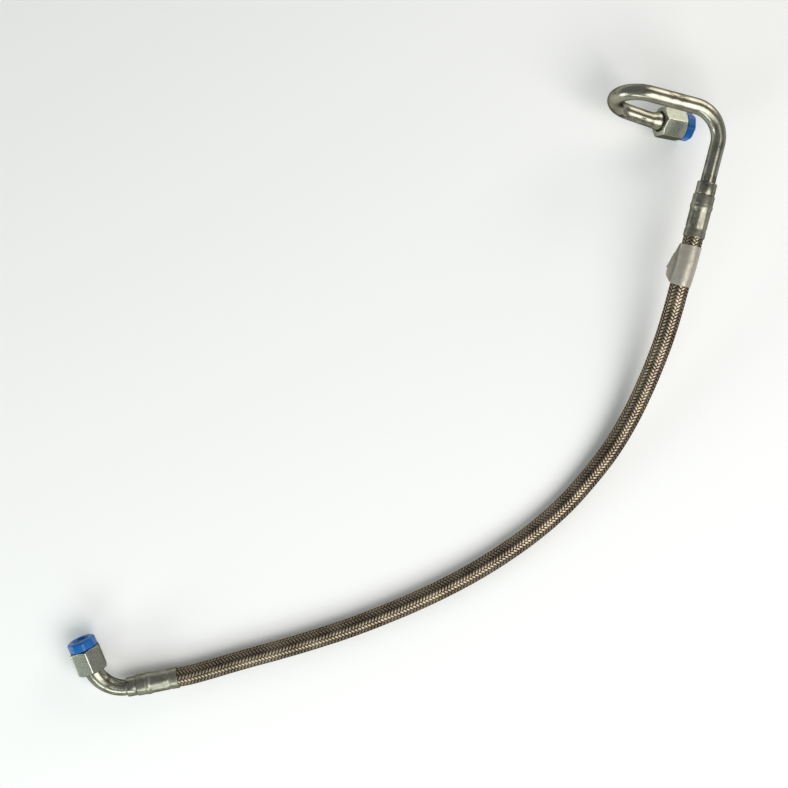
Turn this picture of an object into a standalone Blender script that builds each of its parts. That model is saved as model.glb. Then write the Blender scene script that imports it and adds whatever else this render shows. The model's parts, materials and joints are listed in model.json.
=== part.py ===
"""Braided fuel hose assembly: a steel-braided hose between two bent steel tube ends.

End A carries a tube that bends over and loops back on itself, end B a short elbow.
Each end has a crimped ferrule, a hose insert, a cone nipple with its ring seal,
a swivel nut and a screwed protective plug. The hose lies on the ground plane,
+Z is up and lengths are in metres.
"""
import math

import bpy
import bmesh
from mathutils import Matrix, Vector

MM = 0.001

# Clearance between pieces that fit into or rest on each other
FIT = 0.3 * MM

# Hose
LINER_BORE = 8.0 * MM
LINER_WALL = 1.2 * MM
BRAID_WALL = 1.0 * MM
HOSE_SIDES = 12
HOSE_POINT_SPACING = 12.0 * MM
LINER_INSERTION = 22.0 * MM

# Centre line of the hose from the mouth of ferrule A to the mouth of ferrule B
HOSE_ROUTE_MM = [
    (195.7, 104.1, 41.0),
    (193.8, 96.2, 40.2),
    (191.1, 85.1, 38.7),
    (187.7, 73.0, 36.2),
    (184.4, 58.6, 32.6),
    (180.6, 43.5, 28.5),
    (176.0, 28.5, 24.2),
    (168.5, 8.0, 18.6),
    (158.9, -13.5, 13.8),
    (147.1, -34.1, 10.4),
    (132.7, -53.3, 8.2),
    (116.7, -71.3, 7.0),
    (98.7, -87.4, 6.65),
    (79.3, -101.7, 6.6),
    (59.0, -114.6, 6.6),
    (37.8, -126.1, 6.6),
    (16.1, -136.4, 6.6),
    (-6.2, -145.7, 6.6),
    (-28.7, -154.2, 6.6),
    (-51.7, -161.7, 6.6),
    (-74.8, -168.5, 6.6),
    (-98.0, -174.8, 6.65),
    (-121.3, -181.6, 7.0),
    (-133.4, -184.9, 7.3),
    (-142.1, -186.6, 7.6),
]

# Crimped ferrule, measured outward from the mouth
FERRULE_LENGTH = 27.5 * MM
FERRULE_WALL = 1.3 * MM
FERRULE_MOUTH_BAND = 4.4 * MM
FERRULE_GROOVE_WIDTH = 1.3 * MM
FERRULE_GROOVE_DEPTH = 0.35 * MM
FERRULE_CRIMP_LENGTH = 12.2 * MM
FERRULE_RING_LENGTH = 3.0 * MM
FERRULE_RING_HEIGHT = 0.4 * MM
FERRULE_STEP = 0.15 * MM
FERRULE_END_WALL = 4.0 * MM
CRIMP_JAWS = 8
CRIMP_FLAT_DEPTH = 0.12 * MM

# Hose insert: a barbed stem in the hose and a collar brazed round the tube
STEM_BORE = 5.6 * MM
BARB_COUNT = 4
BARB_DEPTH = 0.3 * MM
NECK_WALL = 1.5 * MM
COLLAR_WALL = 1.05 * MM
COLLAR_LENGTH_A = 8.0 * MM
COLLAR_LENGTH_B = 6.5 * MM
SOCKET_LEDGE = 2.7 * MM
COLLAR_CHAMFER = 0.6 * MM

# Bent tubes
TUBE_OD = 10.0 * MM
TUBE_WALL = 1.0 * MM
TUBE_SIDES = 16
BEND_STEP = math.radians(9.0)
LOOP_FIRST_RUN = 29.6 * MM
LOOP_CORNER = (math.radians(90.0), math.radians(8.8), 20.4 * MM)
LOOP_TOP_RUN = 30.6 * MM
LOOP_TURN = (math.radians(170.7), math.radians(-72.3), 16.9 * MM)
LOOP_RETURN_RUN = 14.0 * MM
LOOP_SET = (math.radians(7.8), math.radians(-91.3), 40.0 * MM)
LOOP_LAST_RUN = 7.7 * MM
ELBOW_FIRST_RUN = 3.2 * MM
ELBOW_FIRST_BEND = (math.radians(13.9), math.radians(171.4), 14.6 * MM)
ELBOW_SECOND_BEND = (math.radians(66.0), 0.0, 22.4 * MM)
ELBOW_LAST_RUN = 0.5 * MM
ELBOW_SWELL = 1.2 * MM

# Cone nipple on the tube end, measured from the back face of the nut
SLEEVE_WALL = 0.8 * MM
SLEEVE_BEHIND_NUT = 6.5 * MM
SLEEVE_TUBE_REACH = 3.6 * MM
NUT_BACK_WALL = 3.0 * MM
NUT_PLAY = 0.2 * MM
RETAINING_STEP = 0.5 * MM
NIPPLE_COLLAR_LENGTH = 1.8 * MM
CONE_LENGTH = 4.4 * MM
CONE_HALF_ANGLE = math.radians(12.0)
NIPPLE_BORE = 8.0 * MM
SPIGOT_LENGTH = 3.0 * MM
SEAL_THICKNESS = 1.1 * MM
SEAL_PLACE = 0.45

# Swivel nut
NUT_LENGTH = 16.5 * MM
NUT_WALL = 2.0 * MM
NUT_FRONT_ANGLE = math.radians(30.0)
NUT_FRONT_CHAMFER = 0.5 * MM
NUT_BACK_ANGLE = math.radians(40.0)
NUT_BACK_INSET = 1.0 * MM
NUT_MOUTH_CHAMFER = 0.5 * MM
NUT_ROLL_A = math.radians(-2.0)
NUT_ROLL_B = math.radians(9.1)

# Protective plug screwed into the nut
PLUG_NOSE_GAP = 1.6 * MM
PLUG_HEAD_HEIGHT = 6.3 * MM
PLUG_HEAD_INSET = 0.4 * MM
PLUG_HEAD_SIDES = 8
PLUG_EDGE_ROUND = 1.2 * MM
PLUG_RECESS_DEPTH = 2.0 * MM
PLUG_RIM_WIDTH = 3.7 * MM
PLUG_ROLL = math.radians(12.0)

# Identification label wrapped round the hose near ferrule A
LABEL_START = 5.6 * MM
LABEL_LENGTH = 26.0 * MM
LABEL_THICKNESS = 0.35 * MM
LABEL_TAB_START = 0.8 * MM
LABEL_TAB_REACH = 5.6 * MM
LABEL_TAB_PEAK = 0.7
LABEL_ROWS = 10
LABEL_ARC_STEPS = 20
LABEL_TAB_ANGLE = math.radians(170.0)

# Facets round the turned pieces
TURNED_SIDES = 24
BORE_SIDES = 28
NUT_CHAMFER_SIDES = 48
SEAL_SIDES = (24, 6)

# Sizes that follow
LINER_OD = LINER_BORE + 2 * LINER_WALL
BRAID_BORE = LINER_OD + 2 * FIT
HOSE_OD = BRAID_BORE + 2 * BRAID_WALL
FERRULE_BORE = LINER_OD + 2 * FIT
FERRULE_OD = FERRULE_BORE + 2 * FERRULE_WALL
STEM_OD = LINER_BORE - 2 * FIT
NECK_OD = STEM_BORE + 2 * NECK_WALL
SOCKET_BORE = TUBE_OD + 2 * FIT
COLLAR_OD = SOCKET_BORE + 2 * COLLAR_WALL
COLLAR_START = FERRULE_LENGTH + FIT
TUBE_START = COLLAR_START + SOCKET_LEDGE + FIT
ELBOW_END_OD = TUBE_OD + 2 * ELBOW_SWELL
SLEEVE_OD = SOCKET_BORE + 2 * SLEEVE_WALL
NUT_HOLE = max(SLEEVE_OD, ELBOW_END_OD) + 2 * FIT + 2 * NUT_PLAY
NIPPLE_COLLAR_OD = NUT_HOLE + 2 * RETAINING_STEP
NIPPLE_COLLAR_START = NUT_BACK_WALL + FIT
NIPPLE_COLLAR_END = NIPPLE_COLLAR_START + NIPPLE_COLLAR_LENGTH
NIPPLE_END = NIPPLE_COLLAR_END + CONE_LENGTH
SPIGOT_TUBE_REACH = NIPPLE_COLLAR_START - FIT
NUT_BORE = NIPPLE_COLLAR_OD + 2 * FIT
NUT_ACROSS_FLATS = NUT_BORE + 2 * NUT_WALL
NUT_ACROSS_CORNERS = NUT_ACROSS_FLATS / math.cos(math.pi / 6)
PLUG_SHANK_OD = NUT_BORE - 2 * FIT
PLUG_SHANK_LENGTH = NUT_LENGTH - NIPPLE_END - PLUG_NOSE_GAP
PLUG_HEAD_ACROSS_FLATS = NUT_ACROSS_FLATS - 2 * PLUG_HEAD_INSET


def clear_scene():
    """Remove every object that the file opened with."""
    for obj in list(bpy.data.objects):
        bpy.data.objects.remove(obj, do_unlink=True)


def make_collection(name):
    """Return a new collection linked to the scene."""
    collection = bpy.data.collections.new(name)
    bpy.context.scene.collection.children.link(collection)
    return collection


def make_material(name, colour, roughness, metallic):
    """Return a Principled material of one colour."""
    material = bpy.data.materials.new(name)
    material.use_nodes = True
    shader = material.node_tree.nodes["Principled BSDF"]
    shader.inputs["Base Color"].default_value = (*colour, 1.0)
    shader.inputs["Roughness"].default_value = roughness
    shader.inputs["Metallic"].default_value = metallic
    material.diffuse_color = (*colour, 1.0)
    return material


def place(obj, collection, parent, matrix=None):
    """Link an object and seat it in its parent's frame."""
    collection.objects.link(obj)
    obj.parent = parent
    obj.matrix_basis = matrix or Matrix.Identity(4)
    return obj


def make_empty(name, collection, parent, matrix):
    """Return an empty that holds a frame for other pieces."""
    empty = bpy.data.objects.new(name, None)
    empty.empty_display_size = 5 * MM
    return place(empty, collection, parent, matrix)


def catmull_rom(before, start, end, after, share):
    """Return the point at a share of the smooth span between two route points."""
    square = share * share
    cube = square * share
    return 0.5 * (
        2 * start
        + (end - before) * share
        + (2 * before - 5 * start + 4 * end - after) * square
        + (3 * start - before - 3 * end + after) * cube
    )


def smooth_route(points, per_span=12):
    """Return a fine polyline on a smooth curve through the points."""
    first = 2 * points[0] - points[1]
    last = 2 * points[-1] - points[-2]
    held = [first, *points, last]
    fine = []
    for span in range(len(points) - 1):
        for step in range(per_span):
            fine.append(catmull_rom(*held[span:span + 4], step / per_span))
    fine.append(points[-1])
    return fine


class Route:
    """A polyline that can be read by its length."""

    def __init__(self, points):
        self.points = points
        self.marks = [0.0]
        for a, b in zip(points, points[1:]):
            self.marks.append(self.marks[-1] + (b - a).length)
        self.length = self.marks[-1]

    def at(self, distance):
        """Return the point at a distance; past either end the line runs straight on."""
        span = 0
        while span < len(self.points) - 2 and self.marks[span + 1] < distance:
            span += 1
        a, b = self.points[span], self.points[span + 1]
        return a + (b - a) * ((distance - self.marks[span]) / (b - a).length)

    def direction(self, distance):
        """Return the unit tangent at a distance."""
        return (self.at(distance + MM) - self.at(distance - MM)).normalized()

    def stations(self, start, end, spacing):
        """Return evenly spaced distances from start to end."""
        count = max(1, round((end - start) / spacing))
        return [start + (end - start) * i / count for i in range(count + 1)]


def frame_along(origin, forward):
    """Return a frame whose Z runs forward and whose X is level."""
    forward = forward.normalized()
    across = Vector((0, 0, 1)).cross(forward).normalized()
    upward = forward.cross(across)
    rotation = Matrix((across, upward, forward)).transposed()
    return Matrix.Translation(origin) @ rotation.to_4x4()


def bend_stations(frame, angle, roll, radius):
    """Return the frames along one bend; the tube turns towards its own X."""
    rolled = frame @ Matrix.Rotation(roll, 4, "Z")
    centre = rolled @ Matrix.Translation((radius, 0, 0))
    count = max(1, math.ceil(angle / BEND_STEP))
    turns = [Matrix.Rotation(angle * i / count, 4, "Y") for i in range(1, count + 1)]
    return [centre @ turn @ Matrix.Translation((-radius, 0, 0)) for turn in turns]


def tube_frames(start, runs):
    """Return the frames along a tube made of straight runs and bends.

    A run is either a length or an (angle, roll, radius) bend.
    """
    frames = [Matrix.Translation((0, 0, start))]
    for run in runs:
        if isinstance(run, tuple):
            frames += bend_stations(frames[-1], *run)
        else:
            frames.append(frames[-1] @ Matrix.Translation((0, 0, run)))
    return frames


def hollow_tube(name, points, radii, wall, sides, material):
    """Return an open-ended tube: a bevelled poly curve with a wall turned inward."""
    curve = bpy.data.curves.new(name, "CURVE")
    curve.dimensions = "3D"
    curve.bevel_depth = max(radii)
    curve.bevel_resolution = (sides - 4) // 2
    curve.use_fill_caps = False
    spline = curve.splines.new("POLY")
    spline.points.add(len(points) - 1)
    for held, point, radius in zip(spline.points, points, radii):
        held.co = (*point, 1.0)
        held.radius = radius / max(radii)
    spline.use_smooth = True
    curve.materials.append(material)
    obj = bpy.data.objects.new(name, curve)
    solid = obj.modifiers.new("wall", "SOLIDIFY")
    solid.thickness = wall
    solid.offset = -1.0
    solid.use_even_offset = True
    return obj


def turned(name, profile, steps, material=None):
    """Return a turned solid from a closed (radius, height) outline.

    The outline runs down the outer side and, where there is a bore, up the inner side.
    """
    mesh = bpy.data.meshes.new(name)
    bore = profile[0][0] > 0
    count = len(profile)
    edges = [(i, i + 1) for i in range(count - 1)]
    if bore:
        edges.append((count - 1, 0))
    mesh.from_pydata([(r, 0, z) for r, z in profile], edges, [])
    if material:
        mesh.materials.append(material)
    obj = bpy.data.objects.new(name, mesh)
    screw = obj.modifiers.new("turn", "SCREW")
    screw.axis = "Z"
    screw.steps = steps
    screw.render_steps = steps
    screw.use_merge_vertices = True
    screw.merge_threshold = 0.00001
    screw.use_smooth_shade = True
    return obj


def prism(name, sides, across_flats, bottom, top, roll, material=None):
    """Return an upright prism with a corner on +Y before it is rolled."""
    mesh = bpy.data.meshes.new(name)
    build = bmesh.new()
    radius = across_flats / 2 / math.cos(math.pi / sides)
    spin = Matrix.Rotation(roll, 4, "Z")
    bmesh.ops.create_cone(
        build,
        cap_ends=True,
        segments=sides,
        radius1=radius,
        radius2=radius,
        depth=top - bottom,
        matrix=Matrix.Translation((0, 0, (bottom + top) / 2)) @ spin,
    )
    build.to_mesh(mesh)
    build.free()
    if material:
        mesh.materials.append(material)
    return bpy.data.objects.new(name, mesh)


def boolean(obj, operation, cutter):
    """Add an exact Boolean with a cutter."""
    modifier = obj.modifiers.new(operation.lower(), "BOOLEAN")
    modifier.operation = operation
    modifier.solver = "EXACT"
    modifier.object = cutter


def as_cutter(obj, collection, parent, matrix=None):
    """Seat a cutter out of sight."""
    obj.hide_render = True
    obj.display_type = "WIRE"
    return place(obj, collection, parent, matrix)


def ferrule_profile():
    """Return the outline of a ferrule; height runs outward from its mouth."""
    bore = FERRULE_BORE / 2
    neck_hole = NECK_OD / 2 + FIT
    crimp = FERRULE_OD / 2
    band = crimp + FERRULE_STEP
    ring = band + FERRULE_RING_HEIGHT
    groove = crimp - FERRULE_GROOVE_DEPTH
    crimp_start = FERRULE_MOUTH_BAND + FERRULE_GROOVE_WIDTH
    ring_start = crimp_start + FERRULE_CRIMP_LENGTH
    ring_end = ring_start + FERRULE_RING_LENGTH
    edge = FERRULE_STEP
    outer = [
        (band - edge, FERRULE_LENGTH),
        (band, FERRULE_LENGTH - edge),
        (band, ring_end + FERRULE_RING_HEIGHT),
        (ring, ring_end),
        (ring, ring_start + FERRULE_RING_HEIGHT),
        (crimp, ring_start - FERRULE_STEP),
        (crimp, crimp_start),
        (groove, crimp_start - edge),
        (groove, FERRULE_MOUTH_BAND + edge),
        (band, FERRULE_MOUTH_BAND),
        (band, edge),
        (band - edge, 0),
    ]
    inner = [
        (bore, 0),
        (bore, FERRULE_LENGTH - FERRULE_END_WALL),
        (neck_hole, FERRULE_LENGTH - FERRULE_END_WALL),
        (neck_hole, FERRULE_LENGTH),
    ]
    return outer + inner


def make_ferrule(suffix, parts, cutters, parent, material):
    """Return the crimped ferrule of one end, with its jaw flats."""
    ferrule = turned(f"ferrule_{suffix}", ferrule_profile(), TURNED_SIDES, material)
    crimp_start = FERRULE_MOUTH_BAND + FERRULE_GROOVE_WIDTH + FERRULE_STEP
    crimp_end = crimp_start + FERRULE_CRIMP_LENGTH - 3 * FERRULE_STEP
    flats = FERRULE_OD - 2 * CRIMP_FLAT_DEPTH
    shell = turned(
        f"crimp_shell_{suffix}",
        [
            (FERRULE_OD, crimp_end),
            (FERRULE_OD, crimp_start),
            (flats / 2 - FERRULE_WALL / 2, crimp_start),
            (flats / 2 - FERRULE_WALL / 2, crimp_end),
        ],
        TURNED_SIDES,
    )
    core = prism(
        f"crimp_core_{suffix}", CRIMP_JAWS, flats, crimp_start - MM, crimp_end + MM, 0.0
    )
    as_cutter(shell, cutters, parent)
    as_cutter(core, cutters, parent)
    boolean(shell, "DIFFERENCE", core)
    boolean(ferrule, "DIFFERENCE", shell)
    return place(ferrule, parts, parent)


def insert_profile(collar_length):
    """Return the outline of a hose insert: collar, neck and barbed stem."""
    collar_end = COLLAR_START + collar_length
    collar = COLLAR_OD / 2
    stem = STEM_OD / 2
    stem_end = FIT
    shoulder = FERRULE_LENGTH - FERRULE_END_WALL - FIT
    outer = [
        (collar - COLLAR_CHAMFER / 2, collar_end),
        (collar, collar_end - COLLAR_CHAMFER),
        (collar, COLLAR_START + COLLAR_CHAMFER / 2),
        (collar - COLLAR_CHAMFER / 2, COLLAR_START),
        (NECK_OD / 2, COLLAR_START),
        (NECK_OD / 2, shoulder),
        (stem, shoulder - MM),
    ]
    pitch = (shoulder - MM - stem_end) / (BARB_COUNT + 1)
    for barb in range(BARB_COUNT):
        top = shoulder - MM - pitch * (barb + 0.5)
        outer += [
            (stem, top),
            (stem - BARB_DEPTH, top - pitch * 0.2),
            (stem, top - pitch * 0.8),
        ]
    outer.append((stem, stem_end))
    ledge = COLLAR_START + SOCKET_LEDGE
    inner = [
        (STEM_BORE / 2, stem_end),
        (STEM_BORE / 2, ledge),
        (SOCKET_BORE / 2, ledge),
        (SOCKET_BORE / 2, collar_end),
    ]
    return outer + inner


def nut_body(name, steps, roll, material):
    """Return the round-chamfered hexagon of a nut before it is bored."""
    corner = NUT_ACROSS_CORNERS / 2
    flat = NUT_ACROSS_FLATS / 2
    back = (corner - flat + NUT_BACK_INSET) * math.tan(NUT_BACK_ANGLE)
    front = NUT_FRONT_CHAMFER
    hexagon = prism(name, 6, NUT_ACROSS_FLATS, 0.0, NUT_LENGTH, roll, material)
    rounding = turned(
        f"{name}_rounding",
        [
            (0.0, NUT_LENGTH + MM),
            (corner - front, NUT_LENGTH + MM),
            (corner - front, NUT_LENGTH),
            (corner + front, NUT_LENGTH - 2 * front * math.tan(NUT_FRONT_ANGLE)),
            (corner + front, back + front * math.tan(NUT_BACK_ANGLE)),
            (flat - NUT_BACK_INSET, 0.0),
            (flat - NUT_BACK_INSET, -MM),
            (0.0, -MM),
        ],
        steps,
    )
    return hexagon, rounding


def make_nut(suffix, roll, parts, cutters, parent, material):
    """Return one swivel nut; its origin is on the turning axis at the back face."""
    nut, rounding = nut_body(f"swivel_nut_{suffix}", NUT_CHAMFER_SIDES, roll, material)
    bore = turned(
        f"nut_bore_{suffix}",
        [
            (0.0, NUT_LENGTH + MM),
            (NUT_BORE / 2 + NUT_MOUTH_CHAMFER + MM, NUT_LENGTH + MM),
            (NUT_BORE / 2, NUT_LENGTH - NUT_MOUTH_CHAMFER),
            (NUT_BORE / 2, NUT_BACK_WALL),
            (NUT_HOLE / 2, NUT_BACK_WALL),
            (NUT_HOLE / 2, -MM),
            (0.0, -MM),
        ],
        BORE_SIDES,
    )
    as_cutter(rounding, cutters, parent)
    as_cutter(bore, cutters, parent)
    boolean(nut, "INTERSECT", rounding)
    boolean(nut, "DIFFERENCE", bore)
    return place(nut, parts, parent)


def cone_radius(height):
    """Return the radius of the sealing cone at a height past the nut's back face."""
    base = NIPPLE_COLLAR_OD / 2 - RETAINING_STEP
    return base - (height - NIPPLE_COLLAR_END) * math.tan(CONE_HALF_ANGLE)


def nipple_front():
    """Return the part of the nipple's outline from its nose down to its collar."""
    seal = NIPPLE_COLLAR_END + CONE_LENGTH * SEAL_PLACE
    half = SEAL_THICKNESS / 2 + FIT
    floor = cone_radius(seal) - SEAL_THICKNESS / 2 - FIT
    return [
        (cone_radius(NIPPLE_END), NIPPLE_END),
        (cone_radius(seal + half), seal + half),
        (floor, seal + half),
        (floor, seal - half),
        (cone_radius(seal - half), seal - half),
        (cone_radius(NIPPLE_COLLAR_END), NIPPLE_COLLAR_END),
        (NIPPLE_COLLAR_OD / 2, NIPPLE_COLLAR_END),
        (NIPPLE_COLLAR_OD / 2, NIPPLE_COLLAR_START),
    ]


def sleeve_nipple_profile():
    """Return the outline of the nipple that sleeves the loop tube."""
    back = -SLEEVE_BEHIND_NUT
    tube_end = SLEEVE_TUBE_REACH + FIT
    return nipple_front() + [
        (SLEEVE_OD / 2, NIPPLE_COLLAR_START),
        (SLEEVE_OD / 2, back + SLEEVE_WALL),
        (SLEEVE_OD / 2 - SLEEVE_WALL / 2, back),
        (SOCKET_BORE / 2, back),
        (SOCKET_BORE / 2, tube_end),
        (NIPPLE_BORE / 2, tube_end),
        (NIPPLE_BORE / 2, NIPPLE_END),
    ]


def spigot_nipple_profile():
    """Return the outline of the nipple whose spigot fits inside the elbow tube."""
    spigot = ELBOW_END_OD / 2 - TUBE_WALL - FIT
    back = NIPPLE_COLLAR_START - SPIGOT_LENGTH
    return nipple_front() + [
        (spigot, NIPPLE_COLLAR_START),
        (spigot, back),
        (NIPPLE_BORE / 2, back),
        (NIPPLE_BORE / 2, NIPPLE_END),
    ]


def make_seal(suffix, parts, parent, material):
    """Return the ring seal in the groove of a nipple's cone."""
    height = NIPPLE_COLLAR_END + CONE_LENGTH * SEAL_PLACE
    minor = SEAL_THICKNESS / 2
    bpy.ops.mesh.primitive_torus_add(
        major_segments=SEAL_SIDES[0],
        minor_segments=SEAL_SIDES[1],
        major_radius=cone_radius(height),
        minor_radius=minor,
    )
    seal = bpy.context.object
    seal.name = f"ring_seal_{suffix}"
    seal.data.name = seal.name
    seal.data.materials.append(material)
    for collection in list(seal.users_collection):
        collection.objects.unlink(seal)
    return place(seal, parts, parent, Matrix.Translation((0, 0, height)))


def make_plug(suffix, parts, cutters, parent, material):
    """Return one protective plug; its origin is on the nut's axis at the nut's mouth."""
    base = FIT
    top = base + PLUG_HEAD_HEIGHT
    head = prism(
        f"plug_{suffix}",
        PLUG_HEAD_SIDES,
        PLUG_HEAD_ACROSS_FLATS,
        base,
        top,
        PLUG_ROLL,
        material,
    )
    bevel = head.modifiers.new("round", "BEVEL")
    bevel.width = PLUG_EDGE_ROUND
    bevel.segments = 3
    bevel.limit_method = "ANGLE"
    bevel.angle_limit = math.radians(30)
    shank = turned(
        f"plug_shank_{suffix}",
        [
            (0.0, base + PLUG_HEAD_HEIGHT / 2),
            (PLUG_SHANK_OD / 2, base + PLUG_HEAD_HEIGHT / 2),
            (PLUG_SHANK_OD / 2, MM - PLUG_SHANK_LENGTH),
            (PLUG_SHANK_OD / 2 - MM, -PLUG_SHANK_LENGTH),
            (0.0, -PLUG_SHANK_LENGTH),
        ],
        BORE_SIDES,
    )
    recess_radius = PLUG_HEAD_ACROSS_FLATS / 2 - PLUG_RIM_WIDTH
    recess = turned(
        f"plug_recess_{suffix}",
        [
            (0.0, top + MM),
            (recess_radius, top + MM),
            (recess_radius, top - PLUG_RECESS_DEPTH),
            (0.0, top - PLUG_RECESS_DEPTH),
        ],
        BORE_SIDES,
    )
    as_cutter(shank, cutters, parent)
    as_cutter(recess, cutters, parent)
    boolean(head, "UNION", shank)
    boolean(head, "DIFFERENCE", recess)
    return place(head, parts, parent)


def label_section(tab):
    """Return the label's section: out along one tab layer, round the hose and back.

    Each point is (x, y) across the hose, with the tab pointing along +X.
    """
    radius = HOSE_OD / 2 + FIT + LABEL_THICKNESS
    half_gap = LABEL_THICKNESS + FIT
    start = math.asin(half_gap / radius)
    sweep = 2 * math.pi - 2 * start
    arc = []
    for step in range(LABEL_ARC_STEPS + 1):
        angle = start + sweep * step / LABEL_ARC_STEPS
        arc.append((radius * math.cos(angle), radius * math.sin(angle)))
    reach = radius + tab
    return [(reach, half_gap), *arc, (reach, -half_gap)]


def make_label(route, parts, material):
    """Return the label: a lofted sheet wrapped round the hose with its ends as a tab."""
    mesh = bpy.data.meshes.new("id_label")
    build = bmesh.new()
    rows = []
    for row in range(LABEL_ROWS + 1):
        share = row / LABEL_ROWS
        distance = LABEL_START + LABEL_LENGTH * share
        rise = min(share / LABEL_TAB_PEAK, (1 - share) / (1 - LABEL_TAB_PEAK))
        tab = LABEL_TAB_START + (LABEL_TAB_REACH - LABEL_TAB_START) * rise
        frame = frame_along(route.at(distance), route.direction(distance))
        frame = frame @ Matrix.Rotation(LABEL_TAB_ANGLE, 4, "Z")
        corners = [frame @ Vector((x, y, 0)) for x, y in label_section(tab)]
        rows.append([build.verts.new(corner) for corner in corners])
    for upper, lower in zip(rows, rows[1:]):
        for i in range(len(upper) - 1):
            build.faces.new((upper[i], upper[i + 1], lower[i + 1], lower[i]))
    build.to_mesh(mesh)
    build.free()
    mesh.materials.append(material)
    label = bpy.data.objects.new("id_label", mesh)
    solid = label.modifiers.new("foil", "SOLIDIFY")
    solid.thickness = LABEL_THICKNESS
    solid.offset = -1.0
    solid.use_even_offset = True
    return place(label, parts, None)


def make_hose(route, parts, liner_material, braid_material):
    """Add the liner, which runs into both ferrules, and the braid between them."""
    ends = LINER_INSERTION
    distances = [-ends, *route.stations(0.0, route.length, HOSE_POINT_SPACING)]
    distances.append(route.length + ends)
    points = [route.at(distance) for distance in distances]
    radii = [LINER_OD / 2] * len(points)
    liner = hollow_tube("hose_liner", points, radii, LINER_WALL, HOSE_SIDES, liner_material)
    place(liner, parts, None)
    distances = route.stations(FIT, route.length - FIT, HOSE_POINT_SPACING)
    points = [route.at(distance) for distance in distances]
    radii = [HOSE_OD / 2] * len(points)
    braid = hollow_tube("braid_sleeve", points, radii, BRAID_WALL, HOSE_SIDES, braid_material)
    place(braid, parts, None)


def make_tube(name, frames, end_od, parts, parent, material):
    """Return a bent tube whose outer diameter grows evenly to the given end value."""
    points = [frame.translation for frame in frames]
    marks = [0.0]
    for a, b in zip(points, points[1:]):
        marks.append(marks[-1] + (b - a).length)
    growth = (end_od - TUBE_OD) / 2
    radii = [TUBE_OD / 2 + growth * min(1.0, mark / marks[-2]) for mark in marks]
    tube = hollow_tube(name, points, radii, TUBE_WALL, TUBE_SIDES, material)
    return place(tube, parts, parent)


def make_end(suffix, end, sizes, runs, nipple, groups, materials):
    """Build one end: ferrule, insert, bent tube, nipple, seal, nut and plug.

    The sizes are the insert's collar length, the tube's end diameter, how far the tube
    reaches into the nut, and the nut's roll.
    """
    collar_length, end_od, tube_reach, roll = sizes
    parts, cutters = groups
    make_ferrule(suffix, parts, cutters, end, materials["ferrule"])
    insert = turned(
        f"hose_insert_{suffix}", insert_profile(collar_length), TURNED_SIDES, materials["insert"]
    )
    place(insert, parts, end)
    frames = tube_frames(TUBE_START, runs)
    name = "loop_tube" if suffix == "a" else "elbow_tube"
    make_tube(name, frames, end_od, parts, end, materials["tube"])
    tube_end = end.matrix_basis @ frames[-1]
    forward = tube_end.col[2].xyz
    seat = frame_along(tube_end.translation - forward * tube_reach, forward)
    nut_axis = make_empty(f"nut_axis_{suffix}", parts, None, seat)
    cone = turned(f"cone_nipple_{suffix}", nipple, TURNED_SIDES, materials["insert"])
    place(cone, parts, nut_axis)
    make_seal(suffix, parts, nut_axis, materials["seal"])
    make_nut(suffix, roll, parts, cutters, nut_axis, materials["nut"])
    mouth = Matrix.Translation((0, 0, NUT_LENGTH))
    plug_axis = make_empty(f"plug_axis_{suffix}", parts, nut_axis, mouth)
    make_plug(suffix, parts, cutters, plug_axis, materials["plug"])


def main():
    """Build the whole hose assembly."""
    clear_scene()
    groups = (make_collection("braided_fuel_hose"), make_collection("cutters"))
    parts = groups[0]
    materials = {
        "liner": make_material("liner_plastic", (0.62, 0.60, 0.55), 0.45, 0.0),
        "braid": make_material("braid_steel", (0.30, 0.25, 0.19), 0.35, 1.0),
        "ferrule": make_material("ferrule_steel", (0.36, 0.37, 0.34), 0.35, 1.0),
        "insert": make_material("insert_steel", (0.42, 0.42, 0.38), 0.35, 1.0),
        "tube": make_material("drawn_tube_steel", (0.52, 0.51, 0.46), 0.22, 1.0),
        "nut": make_material("zinc_plated_steel", (0.55, 0.57, 0.50), 0.45, 1.0),
        "seal": make_material("seal_rubber", (0.02, 0.02, 0.02), 0.6, 0.0),
        "plug": make_material("plug_plastic", (0.01, 0.12, 0.45), 0.4, 0.0),
        "label": make_material("label_foil", (0.45, 0.44, 0.41), 0.5, 0.2),
    }
    route = Route(smooth_route([Vector(point) * MM for point in HOSE_ROUTE_MM]))
    make_hose(route, parts, materials["liner"], materials["braid"])
    make_label(route, parts, materials["label"])
    mouth_a = frame_along(route.at(0.0), -route.direction(0.0))
    mouth_b = frame_along(route.at(route.length), route.direction(route.length))
    end_a = make_empty("end_a", parts, None, mouth_a)
    end_b = make_empty("end_b", parts, None, mouth_b)
    loop_runs = [
        LOOP_FIRST_RUN,
        LOOP_CORNER,
        LOOP_TOP_RUN,
        LOOP_TURN,
        LOOP_RETURN_RUN,
        LOOP_SET,
        LOOP_LAST_RUN,
    ]
    elbow_runs = [
        ELBOW_FIRST_RUN,
        ELBOW_FIRST_BEND,
        ELBOW_SECOND_BEND,
        ELBOW_LAST_RUN,
    ]
    sizes_a = (COLLAR_LENGTH_A, TUBE_OD, SLEEVE_TUBE_REACH, NUT_ROLL_A)
    sizes_b = (COLLAR_LENGTH_B, ELBOW_END_OD, SPIGOT_TUBE_REACH, NUT_ROLL_B)
    make_end("a", end_a, sizes_a, loop_runs, sleeve_nipple_profile(), groups, materials)
    make_end("b", end_b, sizes_b, elbow_runs, spigot_nipple_profile(), groups, materials)


main()
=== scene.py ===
"""Looks of the braided fuel hose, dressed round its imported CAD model.

The hose is woven strand by strand over its liner, its two ends are turned, crimped
and bent steel, and each swivel nut holds a screwed blue plug. Lengths are in metres.
"""

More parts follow.
